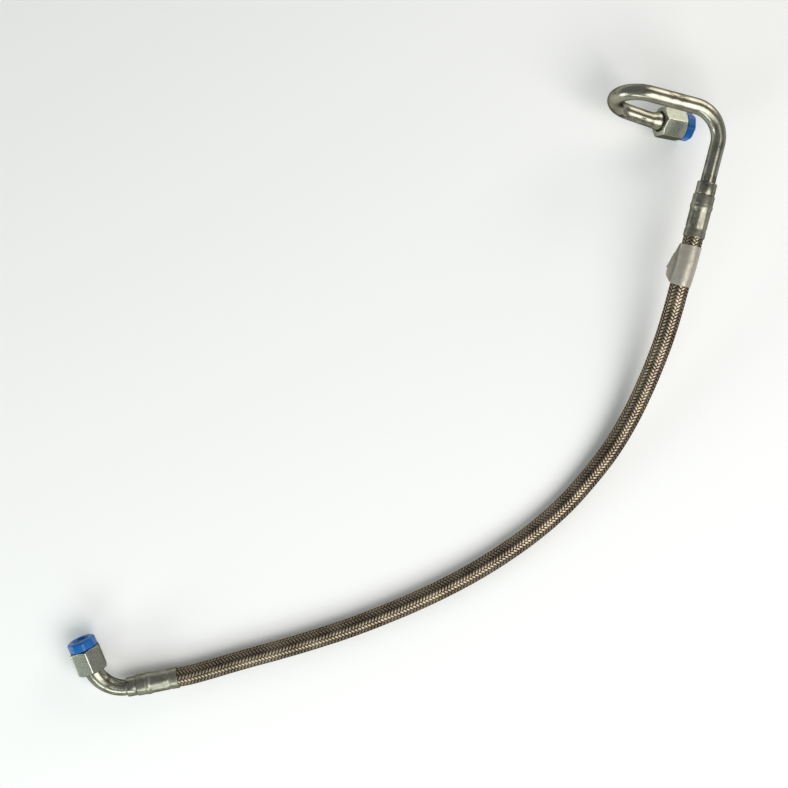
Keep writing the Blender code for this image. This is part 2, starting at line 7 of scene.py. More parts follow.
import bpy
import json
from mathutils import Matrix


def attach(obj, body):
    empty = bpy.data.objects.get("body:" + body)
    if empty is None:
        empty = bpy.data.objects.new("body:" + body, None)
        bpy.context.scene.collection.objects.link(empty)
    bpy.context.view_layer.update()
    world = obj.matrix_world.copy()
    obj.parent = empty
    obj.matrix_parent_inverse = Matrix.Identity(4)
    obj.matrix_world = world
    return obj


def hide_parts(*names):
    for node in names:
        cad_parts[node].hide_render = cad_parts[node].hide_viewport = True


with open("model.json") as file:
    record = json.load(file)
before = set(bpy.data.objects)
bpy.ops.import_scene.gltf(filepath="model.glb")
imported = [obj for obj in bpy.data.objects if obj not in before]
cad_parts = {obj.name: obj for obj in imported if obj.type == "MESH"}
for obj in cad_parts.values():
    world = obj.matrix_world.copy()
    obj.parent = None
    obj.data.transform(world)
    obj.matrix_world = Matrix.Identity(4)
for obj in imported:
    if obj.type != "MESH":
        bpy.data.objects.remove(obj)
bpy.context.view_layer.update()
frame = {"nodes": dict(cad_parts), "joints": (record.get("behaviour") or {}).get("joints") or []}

import json
import logging
import math
from collections.abc import Callable, Sequence
from dataclasses import dataclass
from enum import Enum

import bmesh
import bpy
from mathutils import Matrix, Vector, noise

LOG = logging.getLogger("braided_fuel_hose")

MM = 0.001
FIT = 0.3 * MM
SURFACE = "surface"
HOSE_BODY = "hose_assembly"

# Outline of a turned piece at one angle round its axis, as (radius, height) points
Outline = list[tuple[float, float]]
# Values along a length, as (share of the length, value)
Marks = tuple[tuple[float, float], ...]
# Sockets or values for a node's inputs, by name or number, or in order
Inputs = dict[str | int, object] | Sequence[object]

# Centre line of the hose from the mouth of ferrule A to the mouth of ferrule B
HOSE_ROUTE_MM = [
    (195.7, 104.1, 41.0), (193.8, 96.2, 40.2), (191.1, 85.1, 38.7), (187.7, 73.0, 36.2),
    (184.4, 58.6, 32.6), (180.6, 43.5, 28.5), (176.0, 28.5, 24.2), (168.5, 8.0, 18.6),
    (158.9, -13.5, 13.8), (147.1, -34.1, 10.4), (132.7, -53.3, 8.2), (116.7, -71.3, 7.0),
    (98.7, -87.4, 6.65), (79.3, -101.7, 6.6), (59.0, -114.6, 6.6), (37.8, -126.1, 6.6),
    (16.1, -136.4, 6.6), (-6.2, -145.7, 6.6), (-28.7, -154.2, 6.6), (-51.7, -161.7, 6.6),
    (-74.8, -168.5, 6.6), (-98.0, -174.8, 6.65), (-121.3, -181.6, 7.0), (-133.4, -184.9, 7.3),
    (-142.1, -186.6, 7.6),
]

# Sizes that the pieces share
HOSE_OD = 13.0 * MM
TUBE_OD = 10.0 * MM
TUBE_WALL = 1.0 * MM
FERRULE_LENGTH = 27.5 * MM
FERRULE_BORE = 11.0 * MM
FERRULE_END_WALL = 4.0 * MM
NECK_OD = 8.6 * MM
COLLAR_START = FERRULE_LENGTH + FIT
SOCKET_LEDGE = 2.7 * MM
TUBE_START = COLLAR_START + SOCKET_LEDGE + FIT
NUT_LENGTH = 16.5 * MM
NUT_ACROSS_FLATS = 19.0 * MM
NUT_BACK_WALL = 3.0 * MM
NUT_HOLE = 13.4 * MM
NUT_BORE = 15.0 * MM
THREAD_PITCH = 1.5 * MM
THREAD_STEPS = 6
THREAD_SLOPE = 3.2
THREAD_ROOT_WIDTH = 0.3

# How often a turned piece's outline is read in a turn: as often for each jaw or flat
ROUND_STEPS = 96
JAW_STEPS = 128
FLAT_STEPS = 144

# Distances within which two points of a piece, or of a strand, are one
SEAM = 0.0001 * MM
STRAND_SEAM = 0.002 * MM
# Values that a noise texture mostly stays between
NOISE_SPAN = (0.3, 0.7)
# Angle between two faces past which their edge stays sharp
SHARP_ANGLE = math.radians(32)
# Radius below which a turned piece's surface pattern is no longer squeezed
PATTERN_RADIUS = 4 * MM


def linear(code: str) -> tuple[float, float, float, float]:
    """Turn an sRGB hex colour to linear light.

    Args:
        code: The colour as #rrggbb.

    Returns:
        Red, green, blue and an alpha of one.
    """
    shares = [int(code[i:i + 2], 16) / 255 for i in (1, 3, 5)]
    red, green, blue = (
        share / 12.92 if share <= 0.04045 else ((share + 0.055) / 1.055) ** 2.4
        for share in shares
    )
    return red, green, blue, 1.0


def join(node: bpy.types.Node, inputs: Inputs) -> None:
    """Link a node's inputs to sockets, or set them to values.

    Args:
        node: The node.
        inputs: The sockets or values.
    """
    pairs = inputs.items() if isinstance(inputs, dict) else enumerate(inputs)
    for key, value in pairs:
        if isinstance(value, bpy.types.NodeSocket):
            node.id_data.links.new(value, node.inputs[key])
        else:
            node.inputs[key].default_value = value


def add(
    tree: bpy.types.NodeTree, kind: str, inputs: Inputs = (), **settings: object
) -> bpy.types.NodeSocket:
    """Add a node with its settings and links.

    Args:
        tree: The tree that takes the node.
        kind: The node's type.
        inputs: Sockets or values for its inputs.
        **settings: The node's own properties.

    Returns:
        The node's first output; its node attribute is the node.
    """
    node = tree.nodes.new(kind)
    for name, value in settings.items():
        setattr(node, name, value)
    join(node, inputs)
    return node.outputs[0]


def start_material(name: str) -> tuple[bpy.types.Material, bpy.types.NodeTree, bpy.types.Node]:
    """Start a material.

    Args:
        name: The material's name.

    Returns:
        The material, its node tree and its Principled shader.
    """
    material = bpy.data.materials.new(name)
    material.use_nodes = True
    tree = material.node_tree
    return material, tree, tree.nodes["Principled BSDF"]


@dataclass(frozen=True)
class WorkedSteel:
    """Bare or plated steel with the fine lines of its making, slight stains and nicks.

    Attributes:
        name: What the steel is and how it was worked.
        light: Colour of the unstained metal.
        dark: Colour of the stains and of the dull film.
        roughness: Lowest and highest roughness.
        grain_mm: Width and length of the fine lines, round and along the piece.
        grain_depth: Depth of the fine lines.
        stain_mm: Size of the stains.
        stain: Noise values between which unstained metal turns to stained.
        nicks_from: Noise value from which it is nicked, 1 for no nicks.
        nick_mm: Width and length of the nicks, round and along the piece.
        nick_patch_mm: Size of the patches that the nicks gather in.
        nick_edge: Noise values over which a nick sets in.
        nick_cover: How much of the metal's colour a nick hides.
        nick_roughness: How much rougher a nick is.
        nick_colour: Colour of the nicks.
        edge: Colour of the metal seen at a grazing angle, a dark grey that paints shade on its rims.
    """

    name: str
    light: str
    dark: str
    roughness: tuple[float, float]
    grain_mm: tuple[float, float]
    grain_depth: float
    stain_mm: float
    stain: tuple[float, float] = (0.45, 0.75)
    nicks_from: float = 1.0
    nick_mm: tuple[float, float] = (0.5, 5.0)
    nick_patch_mm: float = 18.0
    nick_edge: float = 0.03
    nick_cover: float = 0.8
    nick_roughness: float = 0.3
    nick_colour: str = "#2b2a24"
    edge: str = "#6b675c"

    def material(self) -> bpy.types.Material:
        """Build the material.

        Returns:
            The finished material.
        """
        material, tree, shader = start_material(self.name)
        surface = add(tree, "ShaderNodeUVMap", uv_map=SURFACE)
        space = add(tree, "ShaderNodeTexCoord").node.outputs["Object"]
        stretch = (1 / self.grain_mm[0], 1 / self.grain_mm[1], 0.0)
        lines = add(tree, "ShaderNodeVectorMath", (surface, stretch), operation="MULTIPLY")
        grain = add(tree, "ShaderNodeTexNoise", {"Vector": lines, "Scale": 1.0, "Detail": 5.0})
        stains = add(
            tree,
            "ShaderNodeTexNoise",
            {"Vector": space, "Scale": 1 / (self.stain_mm * MM), "Detail": 6.0, "Roughness": 0.6},
        )
        film = add(tree, "ShaderNodeMapRange", (stains, *self.stain, 0.0, 1.0))
        colour = add(tree, "ShaderNodeMixRGB", (film, linear(self.light), linear(self.dark)))
        rough = add(tree, "ShaderNodeMapRange", (grain, *NOISE_SPAN, *self.roughness))
        if self.nicks_from < 1:
            stretch = (1 / self.nick_mm[0], 1 / self.nick_mm[1], 0.0)
            marks = add(tree, "ShaderNodeVectorMath", (surface, stretch), operation="MULTIPLY")
            nicks = add(tree, "ShaderNodeTexNoise", {"Vector": marks, "Scale": 1.0, "Detail": 8.0})
            patch_scale = 1 / (self.nick_patch_mm * MM)
            patch = add(tree, "ShaderNodeTexNoise", {"Vector": space, "Scale": patch_scale})
            both = add(tree, "ShaderNodeMath", (nicks, patch), operation="MULTIPLY")
            cut_span = (self.nicks_from, self.nicks_from + self.nick_edge, 0.0, self.nick_cover)
            cut = add(tree, "ShaderNodeMapRange", (both, *cut_span))
            colour = add(tree, "ShaderNodeMixRGB", (cut, colour, linear(self.nick_colour)))
            rougher = (cut, self.nick_roughness, rough)
            rough = add(tree, "ShaderNodeMath", rougher, operation="MULTIPLY_ADD")
        relief = {"Height": grain, "Distance": self.grain_depth, "Strength": 1.0}
        finish = {
            "Base Color": colour,
            "Roughness": rough,
            "Normal": add(tree, "ShaderNodeBump", relief),
            "Metallic": 1.0,
            # The dark edge colour darkens the grazing reflections: painted shade at the rims
            "Specular Tint": linear(self.edge),
        }
        join(shader, finish)
        return material


@dataclass(frozen=True)
class BraidWire:
    """Drawn stainless wire, bright on the crowns of the weave, with painted shade over a brown grime where
    it dips and at its edges.

    Attributes:
        name: What the wire is.
        bright: Colour of the bare wire on the crowns.
        soiled_and_shaded: Colour of the wire where the weave dips and at the strand edges, painted shade
            over a brown grime; it also darkens the grazing reflections.
        roughness: Roughness of the wire.
        change_mm: Size of the brighter and duller patches along the hose.
        change: How much brighter or duller a patch is at most.
        change_span: Noise values that the patches run between.
        clean_and_lit: Heights between which the wire turns from its painted shade and grime to its bright
            colour.
    """

    name: str
    bright: str
    soiled_and_shaded: str
    roughness: float
    change_mm: float
    change: float = 0.12
    change_span: tuple[float, float] = (0.35, 0.65)
    clean_and_lit: tuple[float, float] = (0.38, 0.90)

    def material(self) -> bpy.types.Material:
        """Build the material.

        Returns:
            The finished material.
        """
        material, tree, shader = start_material(self.name)
        # Painted shade: the weave's height is low where a strand dips under its neighbours and at its
        # edges, and darkens the wire there
        height = add(tree, "ShaderNodeAttribute", attribute_name="height").node.outputs["Fac"]
        space = add(tree, "ShaderNodeTexCoord").node.outputs["Object"]
        patch_scale = 1 / (self.change_mm * MM)
        patch = add(tree, "ShaderNodeTexNoise", {"Vector": space, "Scale": patch_scale, "Detail": 4.0})
        uneven = add(tree, "ShaderNodeMapRange", (patch, *self.change_span, -self.change, self.change))
        crown = add(tree, "ShaderNodeMath", (height, uneven), operation="ADD")
        clean_and_lit = add(tree, "ShaderNodeMapRange", (crown, *self.clean_and_lit, 0.0, 1.0))
        finish = {
            "Base Color": add(
                tree, "ShaderNodeMixRGB", (clean_and_lit, linear(self.soiled_and_shaded), linear(self.bright))
            ),
            "Metallic": 1.0,
            "Roughness": self.roughness,
            # The dark colour also darkens the wire's grazing reflections: painted shade at the hose's rims
            "Specular Tint": linear(self.soiled_and_shaded),
        }
        join(shader, finish)
        return material


@dataclass(frozen=True)
class MouldedPlastic:
    """Moulded plastic or rubber with a fine moulded texture and slight colour drift.

    Attributes:
        name: What the plastic is.
        colour: Its colour.
        shade: The darker colour that it drifts to.
        roughness: Roughness of the surface.
        texture_mm: Size of the moulded texture.
        texture_depth: Depth of the moulded texture.
        ior: Index of refraction.
        drift_mm: Size of the patches that the colour drifts in.
        drift: Noise values between which the colour drifts.
    """

    name: str
    colour: str
    shade: str
    roughness: float
    texture_mm: float
    texture_depth: float
    ior: float = 1.5
    drift_mm: float = 6.0
    drift: tuple[float, float] = (0.4, 0.7)

    def material(self) -> bpy.types.Material:
        """Build the material.

        Returns:
            The finished material.
        """
        material, tree, shader = start_material(self.name)
        space = add(tree, "ShaderNodeTexCoord").node.outputs["Object"]
        drift_scale, texture_scale = 1 / (self.drift_mm * MM), 1 / (self.texture_mm * MM)
        drift = add(tree, "ShaderNodeTexNoise", {"Vector": space, "Scale": drift_scale, "Detail": 3.0})
        mix = add(tree, "ShaderNodeMapRange", (drift, *self.drift, 0.0, 1.0))
        grain = {"Vector": space, "Scale": texture_scale, "Detail": 2.0}
        relief = {"Height": add(tree, "ShaderNodeTexNoise", grain), "Distance": self.texture_depth}
        finish = {
            "Base Color": add(tree, "ShaderNodeMixRGB", (mix, linear(self.colour), linear(self.shade))),
            "Normal": add(tree, "ShaderNodeBump", relief),
            "Roughness": self.roughness,
            "IOR": self.ior,
        }
        join(shader, finish)
        return material


@dataclass(frozen=True)
class LabelFilm:
    """Silver-grey label film, slightly metallic, with soft creases and finger marks.

    Attributes:
        name: What the film is.
        colour: Its colour.
        worn: Its colour where it is rubbed.
        crease_mm: Distance between the soft creases.
        crease_depth: Depth of the soft creases.
        rub_mm: Size of the rubbed places.
        rubbed: Noise values between which the film turns to rubbed.
        rub_cover: How much of the film's colour the rubbing hides.
        roughness: Lowest and highest roughness.
        metallic: How metallic the silver print is.
    """

    name: str
    colour: str
    worn: str
    crease_mm: float
    crease_depth: float = 0.15 * MM
    rub_mm: float = 4.0
    rubbed: tuple[float, float] = (0.5, 0.75)
    rub_cover: float = 0.7
    roughness: tuple[float, float] = (0.38, 0.52)
    metallic: float = 0.5

    def material(self) -> bpy.types.Material:
        """Build the material.

        Returns:
            The finished material.
        """
        material, tree, shader = start_material(self.name)
        space = add(tree, "ShaderNodeTexCoord").node.outputs["Object"]
        rub_scale, crease_scale = 1 / (self.rub_mm * MM), 1 / (self.crease_mm * MM)
        rub = add(tree, "ShaderNodeTexNoise", {"Vector": space, "Scale": rub_scale, "Detail": 5.0})
        worn = add(tree, "ShaderNodeMapRange", (rub, *self.rubbed, 0.0, self.rub_cover))
        folds = {"Vector": space, "Scale": crease_scale, "Detail": 2.0}
        relief = {"Height": add(tree, "ShaderNodeTexNoise", folds), "Distance": self.crease_depth}
        finish = {
            "Base Color": add(tree, "ShaderNodeMixRGB", (worn, linear(self.colour), linear(self.worn))),
            "Normal": add(tree, "ShaderNodeBump", relief),
            "Roughness": add(tree, "ShaderNodeMapRange", (rub, *NOISE_SPAN, *self.roughness)),
            "Metallic": self.metallic,
        }
        join(shader, finish)
        return material


class Finish(Enum):
    """The finishes of the hose, each named for what it is.

    Mottling and moulded textures are finer in reality and drawn as coarse as they need to show.
    """

    # Cold-drawn steel tube: long bright streaks, and dark nicks from handling
    DRAWN_TUBE = WorkedSteel(
        "cold_drawn_steel_tube", "#9f9d8e", "#67655a", (0.20, 0.34), (0.35, 14.0),
        0.010 * MM, 9.0, (0.45, 0.8), 0.324,
    )
    # Crimped ferrule steel: satin grey with a dull film left by the crimping jaws
    CRIMPED_STEEL = WorkedSteel(
        "crimped_ferrule_steel", "#a09e8e", "#7a786d", (0.32, 0.46), (2.5, 0.30),
        0.012 * MM, 5.0, (0.4, 0.75), 0.375, (0.6, 2.5),
    )
    # Turned steel collars and nipples: fine rings left by the lathe
    TURNED_STEEL = WorkedSteel(
        "turned_fitting_steel", "#9c998a", "#67655a", (0.22, 0.36), (6.0, 0.18), 0.010 * MM, 5.0
    )
    # Dull zinc plating on the nuts: pale, slightly green, finely mottled
    ZINC_PLATED = WorkedSteel(
        "dull_zinc_plated_steel", "#adafa1", "#8f9185", (0.23, 0.35), (0.45, 0.6),
        0.012 * MM, 1.2, (0.4, 0.7),
    )
    # Stainless braiding wire: bright on the crowns, with painted shade over a brown grime between them
    BRAID_WIRE = BraidWire("soiled_stainless_braid_wire", "#aa9d88", "#3f342a", 0.40, 14.0)
    # Painted shade: the wires that lie under the strands and close the gaps between them, coloured as dark
    # as their shadow
    BRAID_GROUND = MouldedPlastic("painted_shade_braid_ground", "#2c251d", "#1d1813", 0.6, 0.4, 0.02 * MM)
    # Extruded liner tube: milky, smooth and slightly waxy
    LINER = MouldedPlastic("extruded_liner_plastic", "#cfccc2", "#bdb9ad", 0.35, 0.6, 0.004 * MM, 1.38)
    # Moulded rubber ring seals: dull black with a soft grain
    SEAL_RUBBER = MouldedPlastic("moulded_seal_rubber", "#181818", "#0f0f0f", 0.55, 0.15, 0.006 * MM, 1.52)
    # Injection-moulded plug: even blue with a faint satin texture
    PLUG_PLASTIC = MouldedPlastic(
        "moulded_blue_plug_plastic", "#005fa8", "#005290", 0.30, 0.5, 0.010 * MM, 1.42
    )
    # Printed label film: silver-grey and slightly shiny, with soft creases and rubbed places
    LABEL = LabelFilm("silver_label_film", "#aba598", "#8c867a", 3.5)

    def material(self) -> bpy.types.Material:
        """Return the finish's material, made once."""
        made = bpy.data.materials.get(self.value.name)
        return made or self.value.material()


def between(marks: Marks, share: float) -> float:
    """Read a value on the straight lines between marks.

    Args:
        marks: Shares of a length with their values, in order.
        share: The share to read at.

    Returns:
        The value, and past the last mark the last one.
    """
    for (a, low), (b, high) in zip(marks, marks[1:]):
        if share <= b:
            return low + (high - low) * (share - a) / (b - a)
    return marks[-1][1]


def eased(share: float) -> float:
    """Return a share that starts and ends softly."""
    return share * share * (3 - 2 * share)


def catmull_rom(points: Sequence[Vector], share: float) -> Vector:
    """Find a point on the smooth curve through four points.

    Args:
        points: The four points.
        share: The share of the span between the second and third.

    Returns:
        The point on the curve.
    """
    before, start, end, after = points
    return 0.5 * (
        2 * start
        + (end - before) * share
        + (2 * before - 5 * start + 4 * end - after) * share**2
        + (3 * start - before - 3 * end + after) * share**3
    )


def frame_along(origin: Vector, forward: Vector) -> Matrix:
    """Return a frame whose Z runs forward and whose X is level.

    Args:
        origin: Where the frame stands.
        forward: The direction of its Z axis.

    Returns:
        The frame's matrix.
    """
    forward = forward.normalized()
    across = Vector((0, 0, 1)).cross(forward).normalized()
    upward = forward.cross(across)
    rotation = Matrix((across, upward, forward)).transposed()
    return Matrix.Translation(origin) @ rotation.to_4x4()


def joint_frame(name: str) -> Matrix:
    """Return the level frame on a joint's axis, at the joint's place."""
    joint = next(joint for joint in frame["joints"] if joint["name"] == name)
    return frame_along(Vector(joint["pos_m"]), Vector(joint["axis"]))


class Route:
    """A fine polyline on a smooth curve through chosen points, read by its length.

    Attributes:
        points: The polyline's points.
        marks: The distance of each point from the first.
        length: The polyline's length.
    """

    def __init__(self, chosen: Sequence[Vector], per_span: int = 12) -> None:
        """Lay the polyline.

        Args:
            chosen: The points that the curve passes through.
            per_span: How many straight pieces stand for each span.
        """
        held = [2 * chosen[0] - chosen[1], *chosen, 2 * chosen[-1] - chosen[-2]]
        self.points = [
            catmull_rom(held[span:span + 4], step / per_span)
            for span in range(len(chosen) - 1)
            for step in range(per_span)
        ]
        self.points.append(chosen[-1].copy())
        self.marks = [0.0]
        for a, b in zip(self.points, self.points[1:]):
            self.marks.append(self.marks[-1] + (b - a).length)
        self.length = self.marks[-1]

    def at(self, distance: float) -> Vector:
        """Find the point at a distance; past either end the line runs straight on.

        Args:
            distance: The distance from the first point.

        Returns:
            The point.
        """
        span = 0
        while span < len(self.points) - 2 and self.marks[span + 1] < distance:
            span += 1
        a, b = self.points[span], self.points[span + 1]
        return a + (b - a) * ((distance - self.marks[span]) / (b - a).length)

    def direction(self, distance: float) -> Vector:
        """Return the unit tangent at a distance."""
        return (self.at(distance + MM) - self.at(distance - MM)).normalized()

    def frame(self, distance: float) -> Matrix:
        """Return the level frame at a distance, Z forward."""
        return frame_along(self.at(distance), self.direction(distance))


def show(name: str, data: bpy.types.ID) -> bpy.types.Object:
    """Put a new object into the scene.

    Args:
        name: The object's name.
        data: Its mesh, curve, light or camera.

    Returns:
        The object.
    """
    shown = bpy.data.objects.new(name, data)
    bpy.context.scene.collection.objects.link(shown)
    return shown


def ring_points(place: Matrix, across: float, upward: float, sides: int) -> list[Vector]:
    """Lay an oval ring's points, from its lowest one round.

    Args:
        place: The frame whose Z is the ring's axis.
        across: The ring's radius across.
        upward: Its radius upward.
        sides: How many points it has.

    Returns:
        The points, without the closing one.
    """
    turns = [2 * math.pi * step / sides for step in range(sides)]
    return [place @ Vector((across * math.sin(turn), -upward * math.cos(turn), 0)) for turn in turns]


def ring_spots(radius: float, run: float, sides: int) -> list[tuple[float, float]]:
    """Lay a ring's surface coordinates in mm.

    Args:
        radius: The ring's radius.
        run: How far along the surface it lies.
        sides: How many points it has.

    Returns:
        The coordinates of its points, closing point included.
    """
    girth = 2 * math.pi * radius / MM
    return [(girth * step / sides, run / MM) for step in range(sides + 1)]


def skin(
    name: str, rings: list[list[Vector]], spots: list[list[tuple[float, float]]], closed: bool
) -> bpy.types.Object:
    """Skin rings of points that run round a piece.

    Args:
        name: The piece's name.
        rings: The rings, each without its closing point.
        spots: The surface coordinates in mm of each ring's points, closing point included.
        closed: Whether the last ring joins the first, as it does round a bored piece.

    Returns:
        The piece, its faces turned outwards.
    """
    build = bmesh.new()
    surface = build.loops.layers.uv.new(SURFACE)
    corners = [[build.verts.new(point) for point in ring] for ring in rings]
    count = len(rings[0])
    for row in range(len(rings) if closed else len(rings) - 1):
        near, far = corners[row], corners[(row + 1) % len(rings)]
        for i in range(count):
            j = (i + 1) % count
            face = build.faces.new((near[i], near[j], far[j], far[i]))
            start, end = spots[row], spots[row + 1]
            for loop, spot in zip(face.loops, (start[i], start[i + 1], end[i + 1], end[i])):
                loop[surface].uv = spot
            face.smooth = True
    bmesh.ops.remove_doubles(build, verts=build.verts, dist=SEAM)
    bmesh.ops.recalc_face_normals(build, faces=build.faces)
    mesh = bpy.data.meshes.new(name)
    build.to_mesh(mesh)
    build.free()
    mesh.set_sharp_from_angle(angle=SHARP_ANGLE)
    return show(name, mesh)


def turned(
    name: str, place: Matrix, outline: Callable[[float], Outline], steps: int = ROUND_STEPS
) -> bpy.types.Object:
    """Turn an outline round an axis; the outline may change with the angle.

    Args:
        name: The piece's name.
        place: The frame whose Z is the axis.
        outline: Gives the (radius, height) points at an angle from the frame's Y.
        steps: How many times the outline is read in a turn.

    Returns:
        The turned piece, bored where its outline stays off the axis.
    """
    turns = [2 * math.pi * step / steps for step in range(steps)]
    outlines = [outline(turn) for turn in turns]
    first = outlines[0]
    rings = []
    for row in range(len(first)):
        reads = [(turn, *read[row]) for turn, read in zip(turns, outlines)]
        rings.append([place @ Vector((-r * math.sin(a), r * math.cos(a), h)) for a, r, h in reads])
    run = 0.0
    previous = first[0]
    spots = []
    for point in (*first, first[0]):
        run += math.dist(point, previous)
        previous = point
        spots.append(ring_spots(max(point[0], PATTERN_RADIUS), run, steps))
    bored = min(radius for radius, _ in first) > 0
    return skin(name, rings, spots, bored)


def dress(
    piece: bpy.types.Object, finish: Finish, slot: str, body: str, *nodes: str
) -> bpy.types.Object:
    """Give a piece its finish, the body it rides and the nodes it stands for.

    Args:
        piece: The piece.
        finish: What its surface is.
        slot: The record's material slot; not used.
        body: The body that it moves with.
        *nodes: The CAD nodes that it replaces.

    Returns:
        The piece.
    """
    piece.data.materials.clear()
    piece.data.materials.append(finish.material())
    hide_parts(*nodes)
    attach(piece, body)
    LOG.info("%s: %d faces, %s", piece.name, len(piece.data.polygons), finish.value.name)
    return piece


def refinish(node: str, finish: Finish) -> bpy.types.Object:
    """Give a CAD node that stays in view its finish.

    Args:
        node: The node's name.
        finish: What its surface is.

    Returns:
        The node.
    """
    piece = frame["nodes"][node]
    piece.data.materials.clear()
    piece.data.materials.append(finish.material())
    LOG.info("%s: %s", node, finish.value.name)
    return piece


class Hand(Enum):
    """The two ways that the strands wind, with where each one crosses over."""

    RIGHT = (1.0, 0.5)
    LEFT = (-1.0, 2.5)


# The weave's named inputs, by the kind of their sockets
WEAVE_INPUTS = {
    "Geometry": ("Geometry",),
    "Float": (
        "Lay", "Hand", "Over", "Strand width", "Middle radius", "Lift", "Wire relief", "Crown",
        "Start", "Length",
    ),
    "Int": ("Strands", "First strand", "Wires", "Stations"),
    "Material": ("Material",),
}

# The weave's sums, one in a row: its name, what it does, and the results or numbers that go in
WEAVE_SUMS = (
    # One strand is a flat sheet, repeated for every other strand of this hand
    ("ridges", "MULTIPLY", "Wires", 2.0),
    ("columns", "ADD", "ridges", 2.0),
    ("half", "DIVIDE", "Strands", 2.0),
    ("every other", "MULTIPLY_ADD", "index", 2.0, "First strand"),
    # Where each point of the flat sheet lies along and across its strand
    ("along", "ADD", "sheet x", 0.5),
    ("run", "MULTIPLY_ADD", "along", "Length", "Start"),
    ("side", "ADD", "sheet y", 0.5),
    ("last", "ADD", "ridges", 1.0),
    ("exact column", "MULTIPLY", "side", "last"),
    ("column", "ROUND", "exact column"),
    ("ridge", "FLOORED_MODULO", "column", "last"),
    ("ridge share", "DIVIDE", "ridge", "ridges"),
    ("share", "SUBTRACT", "ridge share", 0.5),
    ("across", "MULTIPLY", "share", "Strand width"),
    # The strand winds round the hose at the angle that its lay gives
    ("girth", "MULTIPLY", "Middle radius", 2 * math.pi),
    ("slope", "DIVIDE", "girth", "Lay"),
    ("lean", "ARCTANGENT", "slope"),
    ("lean sine", "SINE", "lean"),
    ("lean cosine", "COSINE", "lean"),
    ("slip", "MULTIPLY", "across", "lean sine"),
    ("handed slip", "MULTIPLY", "slip", "Hand"),
    ("distance", "SUBTRACT", "run", "handed slip"),
    ("turns", "DIVIDE", "run", "Lay"),
    ("handed turns", "MULTIPLY", "turns", "Hand"),
    ("first turn", "DIVIDE", "number", "Strands"),
    ("wound turns", "ADD", "first turn", "handed turns"),
    ("sideways", "MULTIPLY", "across", "lean cosine"),
    ("sideways angle", "DIVIDE", "sideways", "Middle radius"),
    ("angle", "MULTIPLY_ADD", "wound turns", 2 * math.pi, "sideways angle"),
    # Over two strands and under two: the phase counts the crossings in quarters
    ("crossings", "MULTIPLY", "Strands", 2.0),
    ("passed", "MULTIPLY", "handed turns", "crossings"),
    ("counted", "MULTIPLY_ADD", "number", 2.0, "passed"),
    ("quarters", "SUBTRACT", "counted", "Over"),
    ("phase", "MULTIPLY", "quarters", math.pi / 2),
    ("wave", "COSINE", "phase"),
    ("wave squared", "MULTIPLY", "wave", "wave"),
    ("flatter", "MULTIPLY_ADD", "wave squared", -0.5, 1.5),
    ("height", "MULTIPLY", "wave", "flatter"),
    # Radius of each point: the weave, the wires' crowns and the strand's fallen edges
    ("weave", "MULTIPLY_ADD", "height", "Lift", "Middle radius"),
    ("wire", "PINGPONG", "ridge", 1.0),
    ("with wires", "MULTIPLY_ADD", "wire", "Wire relief", "weave"),
    ("edge", "MULTIPLY", "share", "share"),
    ("fall", "MULTIPLY", "edge", -4.0),
    ("radius", "MULTIPLY_ADD", "fall", "Crown", "with wires"),
    ("angle cosine", "COSINE", "angle"),
    ("angle sine", "SINE", "angle"),
    ("level reach", "MULTIPLY", "radius", "angle cosine"),
    ("upward reach", "MULTIPLY", "radius", "angle sine"),
    # How lit and bare each point is painted, painted shade included: most on the crowns, least at the
    # edges and where the strand dips
    ("rise", "MULTIPLY_ADD", "height", 0.5, 0.5),
    ("inside", "MULTIPLY_ADD", "edge", -3.6, 1.0),
    ("clean_and_lit", "MULTIPLY", "rise", "inside"),
)


